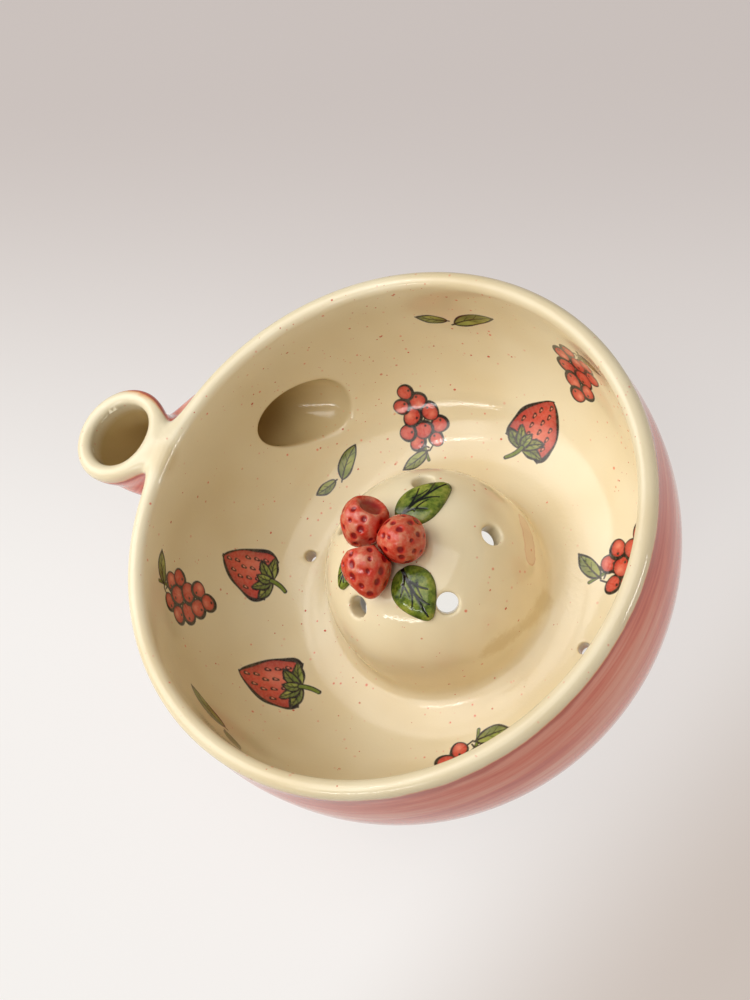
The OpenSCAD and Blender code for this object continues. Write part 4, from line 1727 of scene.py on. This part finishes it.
@dataclass(frozen=True)
class BowlFinish(Finish):
    """Cream glaze inside and on the rim, rose wash outside, two dome blotches and painted shade in the spout.
    """

    name: str = "bowl_glaze"
    cream: CreamGlaze = CreamGlaze()
    wash: RoseWash = RoseWash()

    def blotched(self, nodes: Nodes, place: Socket, cream: Socket) -> Socket:
        """Lays the rust smear, with its dark rind, and the tan stain over the cream.

        Args:
            nodes: the node helpers.
            place: Object coordinates.
            cream: the cream's colour.

        Returns:
            The colour's socket.
        """
        smear = nodes.plus(nodes.mark("smear"), nodes.times(nodes.noise(place, 260.0, 3.0), 2.4))
        cream = nodes.mix(nodes.span(smear, 1.2, 1.8, 0.0, 0.34), cream, self.cream.rust)
        rind = nodes.times(nodes.span(smear, 1.2, 1.5), nodes.span(smear, 1.6, 2.2, 0.28, 0.0))
        cream = nodes.mix(rind, cream, self.wash.edge)
        stain = nodes.plus(nodes.mark("stain"), nodes.times(nodes.noise(place, 120.0, 4.0, 0.7), 9.0))
        return nodes.mix(nodes.span(stain, 4.5, 8.0, 0.0, 0.5), cream, self.cream.shade_and_stain_tan)

    def colour(self, nodes: Nodes, place: Socket) -> Socket:
        """Colour of the cream, the wash and what lies between them.

        Args:
            nodes: the node helpers.
            place: Object coordinates.

        Returns:
            The colour's socket.
        """
        waver = nodes.times(nodes.minus(nodes.noise(place, 60.0, 3.0), 0.5), 2.4)
        depth = nodes.plus(nodes.mark("wash"), waver)
        rose = self.wash.colour(nodes, depth, nodes.mark("strokes", "Vector"), place)
        # Painted shade: the cream turns tan in the spout's bore and on the web.
        cream = nodes.mix(nodes.mark("shade"), self.cream.colour(nodes, place), self.cream.shade_and_stain_tan)
        cream = self.blotched(nodes, place, cream)
        fringe = nodes.mix(nodes.span(depth, -1.0, 0.0), cream, self.wash.fringe)
        return nodes.mix(nodes.span(depth, -0.3, 0.4), fringe, rose)


@dataclass(frozen=True)
class PaintedFinish(Finish):
    """Painted sprigs under the clear gloss, over the same cream as the bowl."""

    name: str = "painted_glaze"
    cream: CreamGlaze = CreamGlaze()

    def colour(self, nodes: Nodes, place: Socket) -> Socket:
        """Colour of the paint, thin in places, and of the cream beside it.

        Args:
            nodes: the node helpers.
            place: Object coordinates.

        Returns:
            The colour's socket.
        """
        thin = nodes.span(nodes.noise(place, 900.0, 3.0, 0.6), 0.3, 0.75, 1.0, 0.92)
        cover = nodes.times(nodes.mark("cover"), thin)
        return nodes.mix(cover, self.cream.colour(nodes, place), nodes.mark("paint", "Color"))


@dataclass(frozen=True)
class BerryFinish(Finish):
    """Mottled coral glaze with dark red that pools in the pits and the stem end."""

    name: str = "berry_glaze"
    coral: Colour = rgb(212, 92, 68)
    red: Colour = rgb(202, 52, 34)
    tan: Colour = rgb(216, 142, 110)
    pit: Colour = rgb(138, 16, 22)
    crater: Colour = rgb(146, 26, 24)
    gloss: ClearGlaze = ClearGlaze(0.08, 0.05, 160.0, 0.03, 1200.0)

    def colour(self, nodes: Nodes, place: Socket) -> Socket:
        """Colour of the berry's skin, its contacts, its stem end and its pits.

        Args:
            nodes: the node helpers.
            place: Object coordinates.

        Returns:
            The colour's socket.
        """
        broad = nodes.noise(place, 210.0, 3.0, 0.6)
        fine = nodes.noise(place, 620.0, 4.0, 0.65)
        tone = nodes.plus(nodes.times(broad, 0.7), nodes.times(fine, 0.3))
        skin = nodes.ramp(nodes.span(tone, 0.34, 0.68), [(0.0, self.red), (0.5, self.coral), (1.0, self.tan)])
        skin = nodes.mix(nodes.times(nodes.mark("press"), 0.8), skin, self.red)
        skin = nodes.mix(nodes.times(nodes.mark("stem_end"), 0.85), skin, self.crater)
        pit = nodes.mark("pit")
        halo = nodes.mix(nodes.span(pit, 0.04, 0.45), skin, self.red)
        core = nodes.plus(pit, nodes.times(nodes.minus(fine, 0.5), 0.5))
        return nodes.mix(nodes.span(core, 0.3, 0.75), halo, self.pit)


@dataclass(frozen=True)
class LeafFinish(Finish):
    """Mottled green glaze, darker at the stem and the edge, with near-black veins."""

    name: str = "leaf_glaze"
    lime: Colour = rgb(154, 160, 66)
    green: Colour = rgb(106, 126, 38)
    dark: Colour = rgb(50, 68, 20)
    vein: Colour = rgb(8, 9, 6)
    gloss: ClearGlaze = ClearGlaze(0.08, 0.05, 140.0, 0.03, 1200.0)

    def colour(self, nodes: Nodes, place: Socket) -> Socket:
        """Colour of the leaf's skin, its stem end, its edge and its veins.

        Args:
            nodes: the node helpers.
            place: Object coordinates.

        Returns:
            The colour's socket.
        """
        broad = nodes.noise(place, 260.0, 3.0, 0.6)
        fine = nodes.noise(place, 900.0, 3.0, 0.6)
        tone = nodes.plus(nodes.times(broad, 0.75), nodes.times(fine, 0.25))
        stops = [(0.0, self.dark), (0.45, self.green), (1.0, self.lime)]
        skin = nodes.ramp(nodes.span(tone, 0.32, 0.68), stops)
        skin = nodes.mix(nodes.span(nodes.mark("run"), 0.0, 0.4, 0.65, 0.0), skin, self.dark)
        skin = nodes.mix(nodes.times(nodes.mark("edge"), 0.55), skin, self.dark)
        return nodes.mix(nodes.mark("vein"), skin, self.vein)


@dataclass(frozen=True)
class BareClayFinish(Finish):
    """Wiped buff clay of the foot, stained where the wash ends, and without gloss."""

    name: str = "bare_clay"
    clay: Colour = rgb(214, 186, 150)
    stain: Colour = rgb(190, 132, 108)
    stain_start: float = 0.003
    stain_full: float = 0.0065
    grain_depth: float = 0.0002
    grain_strength: float = 0.6

    def colour(self, nodes: Nodes, place: Socket) -> Socket:
        """Colour of the clay, stained in drifts and towards the top.

        Args:
            nodes: the node helpers.
            place: Object coordinates.

        Returns:
            The colour's socket.
        """
        colour = nodes.mix(nodes.span(nodes.noise(place, 40.0, 3.0), 0.35, 0.7), self.clay, self.stain)
        high = nodes.span(nodes.apart(place)[2], self.stain_start, self.stain_full)
        return nodes.mix(high, colour, self.stain)

    def surface(self, nodes: Nodes, shader: bpy.types.Node, place: Socket) -> None:
        """Makes the clay rough and grainy.

        Args:
            nodes: the node helpers.
            shader: the shader.
            place: Object coordinates.
        """
        grain = nodes.noise(place, 1500.0, 4.0, 0.7)
        nodes.tree.links.new(nodes.span(grain, 0.3, 0.7, 0.6, 0.82), shader.inputs["Roughness"])
        bump = nodes.add("ShaderNodeBump", {"Height": grain, "Distance": self.grain_depth,
                                            "Strength": self.grain_strength})
        nodes.tree.links.new(bump.outputs[0], shader.inputs["Normal"])


@dataclass(frozen=True)
class SpeckFinish(Finish):
    """Iron specks that bleed into the cream, from faint orange to rust."""

    name: str = "speck_glaze"
    faint: Colour = rgb(232, 190, 152)
    rust: Colour = rgb(204, 104, 76)

    def colour(self, nodes: Nodes, place: Socket) -> Socket:
        """Colour of the specks, each with a tone of its own."""
        tone = nodes.plus(nodes.mark("tone"), nodes.times(nodes.noise(place, 1200.0), 0.3))
        return nodes.ramp(tone, [(0.3, self.faint), (0.95, self.rust)])


@dataclass
class Graph:
    """A Geometry Nodes tree with named inputs, run once on a mesh."""

    name: str
    tree: bpy.types.NodeTree = field(init=False)
    nodes: Nodes = field(init=False)
    source: bpy.types.Node = field(init=False)
    sink: bpy.types.Node = field(init=False)

    def __post_init__(self) -> None:
        """Makes the empty tree."""
        self.tree = bpy.data.node_groups.new(self.name, "GeometryNodeTree")
        for way in ("INPUT", "OUTPUT"):
            self.tree.interface.new_socket("Geometry", in_out=way, socket_type="NodeSocketGeometry")
        self.nodes = Nodes(self.tree)
        self.source = self.nodes.add("NodeGroupInput")
        self.sink = self.nodes.add("NodeGroupOutput")

    def value(self, name: str, kind: str = "NodeSocketFloat") -> Socket:
        """Adds a named input and returns its socket in the tree."""
        self.tree.interface.new_socket(name, in_out="INPUT", socket_type=kind)
        return self.source.outputs[name]

    def run(self, made: Object, result: Socket, material: Material, values: dict[str, object]) -> Object:
        """Ends the tree with a smooth, dressed geometry, runs it on an object and leaves a plain mesh.

        Args:
            made: the object, whose mesh is the tree's geometry.
            result: the geometry to keep.
            material: its finish.
            values: for each named input, its value.

        Returns:
            The object.
        """
        real = self.nodes.add("GeometryNodeRealizeInstances", {0: result})
        smooth = self.nodes.add("GeometryNodeSetShadeSmooth", {0: real.outputs[0], "Shade Smooth": True})
        dressed = self.nodes.add("GeometryNodeSetMaterial",
                                 {"Geometry": smooth.outputs[0], "Material": material})
        self.tree.links.new(dressed.outputs[0], self.sink.inputs["Geometry"])
        modifier = made.modifiers.new(self.name, "NODES")
        modifier.node_group = self.tree
        for item in self.tree.interface.items_tree:
            if item.in_out == "INPUT" and item.name in values:
                modifier[item.identifier] = values[item.name]
        depsgraph = bpy.context.evaluated_depsgraph_get()
        mesh = bpy.data.meshes.new_from_object(made.evaluated_get(depsgraph), preserve_all_data_layers=True,
                                               depsgraph=depsgraph)
        made.modifiers.remove(modifier)
        made.data = mesh
        return made


@dataclass(frozen=True)
class FootRing:
    """The turned foot, a rounded wedge swept round a circle."""

    r: float
    tall: float
    wide: float = 8.0
    draft: float = 1.2
    edge_r: float = 1.4
    edge_steps: int = 5
    overlap: float = 0.8
    steps: int = 180

    def build(self, material: Material) -> Object:
        """Makes the foot with Geometry Nodes.

        Args:
            material: its finish.

        Returns:
            The linked object.
        """
        graph = Graph("foot_sweep")
        n = graph.nodes
        tall = graph.value("Height")
        circle = n.add("GeometryNodeCurvePrimitiveCircle",
                       {"Radius": graph.value("Middle Radius"),
                        "Resolution": graph.value("Steps", "NodeSocketInt")})
        wedge = n.add("GeometryNodeCurvePrimitiveQuadrilateral",
                      {"Height": tall, "Bottom Width": graph.value("Sole Width"),
                       "Top Width": graph.value("Top Width"), "Offset": 0.0}, mode="TRAPEZOID")
        rounded = n.add("GeometryNodeFilletCurve",
                        {"Curve": wedge.outputs[0], "Radius": graph.value("Edge Radius"),
                         "Count": self.edge_steps, "Limit Radius": True}, mode="POLY")
        sweep = n.add("GeometryNodeCurveToMesh",
                      {"Curve": circle.outputs[0], "Profile Curve": rounded.outputs[0]})
        lift = n.add("ShaderNodeCombineXYZ", {2: n.times(tall, 0.5)})
        placed = n.add("GeometryNodeTransform",
                       {"Geometry": sweep.outputs[0], "Translation": lift.outputs[0]})
        made = place_object("turned_foot", bpy.data.meshes.new("turned_foot"))
        values = {"Middle Radius": (self.r - self.wide / 2) * MM, "Height": (self.tall + self.overlap) * MM,
                  "Sole Width": (self.wide - 2 * self.draft) * MM, "Top Width": self.wide * MM,
                  "Edge Radius": self.edge_r * MM, "Steps": self.steps}
        return graph.run(made, placed.outputs[0], material, values)


@dataclass(frozen=True)
class Specks:
    """Specks scattered over the cream inside: the higher their rarity, the fewer large ones."""

    density: float = 26000.0
    smallest: float = 0.18
    largest: float = 0.6
    rarity: float = 3.0
    oval: float = 0.8
    proud: float = 0.05
    seed: int = 11
    size_seed: int = 3
    tone_seed: int = 8

    def build(self, skin: Object, material: Material) -> Object:
        """Scatters the specks over the cream skin.

        Args:
            skin: the glazed bowl, with its point attribute speckle.
            material: the specks' finish.

        Returns:
            The linked object.
        """
        graph = Graph("speck_scatter")
        n = graph.nodes
        low, high = graph.value("Smallest"), graph.value("Largest")
        share = n.add("GeometryNodeInputNamedAttribute", {"Name": "speckle"}, data_type="FLOAT").outputs[0]
        spread = n.add("GeometryNodeDistributePointsOnFaces",
                       {"Mesh": graph.source.outputs["Geometry"],
                        "Density": n.times(share, graph.value("Density")),
                        "Seed": graph.value("Seed", "NodeSocketInt")}, distribute_method="RANDOM").outputs
        pick = n.add("FunctionNodeRandomValue", {"Seed": self.size_seed}, data_type="FLOAT").outputs[1]
        size = n.plus(low, n.times(n.math("POWER", pick, self.rarity), n.minus(high, low)))
        squash = n.add("ShaderNodeCombineXYZ",
                       {0: size, 1: n.times(size, self.oval), 2: graph.value("Proud")})
        blot = n.add("GeometryNodeMeshIcoSphere", {"Radius": 1.0, "Subdivisions": 2})
        placed = n.add("GeometryNodeInstanceOnPoints",
                       {"Points": spread["Points"], "Instance": blot.outputs[0],
                        "Rotation": spread["Rotation"], "Scale": squash.outputs[0]})
        tone = n.add("FunctionNodeRandomValue", {"Seed": self.tone_seed}, data_type="FLOAT").outputs[1]
        marked = n.add("GeometryNodeStoreNamedAttribute",
                       {"Geometry": placed.outputs[0], "Name": "tone", "Value": tone},
                       data_type="FLOAT", domain="INSTANCE")
        made = place_object("specks", skin.data.copy())
        values = {"Smallest": self.smallest * MM, "Largest": self.largest * MM, "Density": self.density,
                  "Seed": self.seed, "Proud": self.proud * MM}
        return graph.run(made, marked.outputs[0], material, values)


def dress(piece: Object, material: Material, slot: Slot, *nodes: str) -> None:
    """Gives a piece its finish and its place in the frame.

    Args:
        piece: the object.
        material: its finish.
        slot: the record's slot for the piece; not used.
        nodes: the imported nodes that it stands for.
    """
    piece.data.materials.clear()
    piece.data.materials.append(material)
    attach(piece, BODY)
    if nodes:
        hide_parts(*nodes)
    stands_for = ", ".join(nodes) or "no node"
    log.info("%s: %d faces, stands for %s", piece.name, len(piece.data.polygons), stands_for)


@dataclass(frozen=True)
class Lamp:
    """A soft lamp that looks at the bowl.

    Its way is the direction from the bowl to it by the camera's right, up and back, its distance
    and its size, level and high, are in metres, and its power is in watts.
    """

    name: str
    way: Point
    distance: float
    size: Place
    power: float
    tone: Point = (1.0, 0.98, 0.95)
    target: Point = (0.0, 0.0, 0.04)

    def build(self, axes: Array) -> None:
        """Hangs the lamp.

        Args:
            axes: the camera's axes as rows: right, up and back.
        """
        data = bpy.data.lights.new(self.name, "AREA")
        data.shape = "RECTANGLE"
        data.size, data.size_y = self.size
        data.energy, data.color = self.power, self.tone
        toward = Vector(unit(np.array(self.way)) @ axes)
        made = place_object(self.name, data)
        made.location = Vector(self.target) + toward * self.distance
        made.rotation_mode = "QUATERNION"
        made.rotation_quaternion = toward.to_track_quat("Z", "Y")


DAYLIGHT = (1.0, 0.97, 0.93)


@dataclass(frozen=True)
class Studio:
    """Pale floor, soft lamps and the camera."""

    eye: Point = (-232.1, 103.5, 476.7)
    aim: Point = (28.1, -17.3, 40.0)
    roll: float = -43.50
    lens: float = 50.5
    floor_tone: Colour = rgb(243, 240, 237)
    # Painted shade far off, a painted shadow in one corner and painted light under the dome.
    far_shade_tone: Colour = rgb(203, 194, 190)
    corner_shadow_tone: Colour = rgb(206, 195, 187)
    under_dome_light_tone: Colour = rgb(253, 250, 244)
    floor_half: float = 3.0
    floor_drop: float = 0.0002
    floor_roughness: float = 0.9
    floor_specular: float = 0.1
    glow_share: float = 0.84
    sky_tone: Colour = (1.0, 0.97, 0.94, 1.0)
    sky: float = 0.1
    glossy_sky: float = 0.3
    lamps: tuple[Lamp, ...] = (
        Lamp("window", (-0.85, 0.3, 0.42), 0.9, (0.8, 0.8), 3.3, DAYLIGHT),
        Lamp("side_window", (-0.9, 0.38, 0.2), 0.9, (0.7, 0.7), 2.2, DAYLIGHT),
        Lamp("overhead", (-0.4, 0.3, 0.84), 1.0, (0.9, 0.9), 5.0),
        Lamp("low_strip", (-0.57, -0.44, 0.68), 0.9, (0.6, 0.045), 1.25),
        Lamp("glint", (-0.66, 0.36, 0.66), 0.9, (0.025, 0.12), 0.2),
        Lamp("bounce", (0.87, 0.02, 0.49), 1.0, (0.3, 0.2), 2.2, (1.0, 0.96, 0.92)))

    def axes(self) -> Array:
        """The camera's axes.

        Returns:
            Its right, up and back, as rows.
        """
        back = unit(np.array(self.eye) - np.array(self.aim))
        level = unit(np.cross([0.0, 0.0, 1.0], back))
        upright = np.cross(back, level)
        turn = math.radians(self.roll)
        right = math.cos(turn) * level + math.sin(turn) * upright
        return np.array([right, np.cross(back, right), back])

    def camera(self) -> None:
        """Makes the camera and sets it as the scene's."""
        data = bpy.data.cameras.new("camera")
        data.lens = self.lens
        data.clip_start, data.clip_end = 0.01, 20
        made = place_object("camera", data)
        turn = Matrix(self.axes().T.tolist()).to_4x4()
        made.matrix_world = Matrix.Translation(Vector(self.eye) * MM) @ turn
        bpy.context.scene.camera = made

    def floor_colour(self, nodes: Nodes) -> Socket:
        """Colour of the floor: painted shade far off, a painted shadow in one corner, painted light under the
        dome.

        Args:
            nodes: the node helpers.

        Returns:
            The colour's socket.
        """
        place = nodes.place()
        x, y, _ = nodes.apart(place)
        # Painted shade: the floor darkens far off.
        far = nodes.minus(y, nodes.times(x, 0.2))
        tone = nodes.mix(nodes.span(far, -0.26, 0.05), self.far_shade_tone, self.floor_tone)
        # Painted shadow: the floor darkens in one corner.
        corner = nodes.minus(nodes.times(y, 0.35), x)
        tone = nodes.mix(nodes.span(corner, 0.06, 0.17), tone, self.corner_shadow_tone)
        # Painted light: the floor is palest under the dome, so the drains show pale through their holes.
        middle = nodes.add("ShaderNodeVectorMath", {0: place}, operation="LENGTH").outputs["Value"]
        return nodes.mix(nodes.span(middle, 0.045, 0.055, 1.0, 0.0), tone, self.under_dome_light_tone)

    def floor(self) -> Object:
        """Makes the floor, which glows in the camera's eye and in the glaze.

        Returns:
            The linked object.
        """
        mesh = bpy.data.meshes.new("floor")
        a, z = self.floor_half, -self.floor_drop
        mesh.from_pydata([(-a, -a, z), (a, -a, z), (a, a, z), (-a, a, z)], [], [(0, 1, 2, 3)])
        material, nodes, shader = new_material("pale_floor")
        tone = self.floor_colour(nodes)
        nodes.tree.links.new(tone, shader.inputs["Base Color"])
        shader.inputs["Roughness"].default_value = self.floor_roughness
        shader.inputs["Specular IOR Level"].default_value = self.floor_specular
        glow = nodes.add("ShaderNodeEmission", {"Color": tone, "Strength": 1.0})
        rays = nodes.add("ShaderNodeLightPath").outputs
        seen = nodes.math("MAXIMUM", rays["Is Camera Ray"], rays["Is Glossy Ray"])
        share = nodes.times(seen, self.glow_share)
        blend = nodes.add("ShaderNodeMixShader", {0: share, 1: shader.outputs[0], 2: glow.outputs[0]})
        nodes.tree.links.new(blend.outputs[0], nodes.tree.nodes["Material Output"].inputs["Surface"])
        mesh.materials.append(material)
        return place_object("floor", mesh)

    def world(self) -> None:
        """Makes the dim sky, which is brighter in reflections."""
        world = bpy.data.worlds.new("studio")
        world.use_nodes = True
        nodes = Nodes(world.node_tree)
        sky = nodes.tree.nodes["Background"]
        sky.inputs["Color"].default_value = self.sky_tone
        glossy = nodes.add("ShaderNodeLightPath").outputs["Is Glossy Ray"]
        strength = nodes.span(glossy, 0.0, 1.0, self.sky, self.glossy_sky)
        nodes.tree.links.new(strength, sky.inputs["Strength"])
        bpy.context.scene.world = world

    def build(self) -> None:
        """Makes the floor, lamps, world and camera."""
        self.floor()
        for lamp in self.lamps:
            lamp.build(self.axes())
        self.world()
        bpy.context.scene.view_settings.view_transform = "Standard"
        self.camera()
        log.info("studio: floor, %d lamps and camera", len(self.lamps))


def main() -> None:
    """Builds the dressed bowl in its studio."""
    logging.basicConfig(level=logging.INFO, format="%(message)s")
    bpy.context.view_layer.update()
    bowl = BowlForm(*node_box("bowl_body"))
    dome = DomeForm(*node_box("centre_dome"), bowl)
    body = GlazedBowl(bowl, dome, SpoutForm(bowl))
    skin = body.build()
    dress(skin, BowlFinish().build(), Slot.CREAM, "bowl_body", "centre_dome", "spout_tube", "rim_web")
    bare = BareClayFinish().build()
    foot_r, _, foot_top = node_box("foot_ring")[1]
    dress(FootRing(foot_r, foot_top).build(bare), bare, Slot.CREAM, "foot_ring")
    speck = SpeckFinish().build()
    dress(Specks().build(skin, speck), speck, Slot.CREAM)
    berry_glaze, leaf_glaze = BerryFinish().build(), LeafFinish().build()
    berries = [Berry(node, (dome.r * x, dome.r * y), stem, taper) for node, (x, y), stem, taper in BERRIES]
    for berry in berries:
        others = [other for other in berries if other is not berry]
        dress(berry.build(dome, others), berry_glaze, Slot.BERRY, berry.node)
    for node, stem, tip, wide in LEAVES:
        leaf = Leaf(node, dome.r * np.array(stem), dome.r * np.array(tip), wide)
        dress(leaf.build(dome), leaf_glaze, Slot.LEAF, node)
    painted = PaintedFinish().build()
    for number, (motif, turn, run, lean, size) in enumerate(LAYOUT):
        sprig = PaintedMotif(f"painted_{motif.value}_{number + 1}", motif, turn, run, lean, size)
        dress(sprig.build(body, number * 1.3), painted, Slot.CREAM)
    Studio().build()
    bpy.context.view_layer.update()


if __name__ == "__main__":
    main()
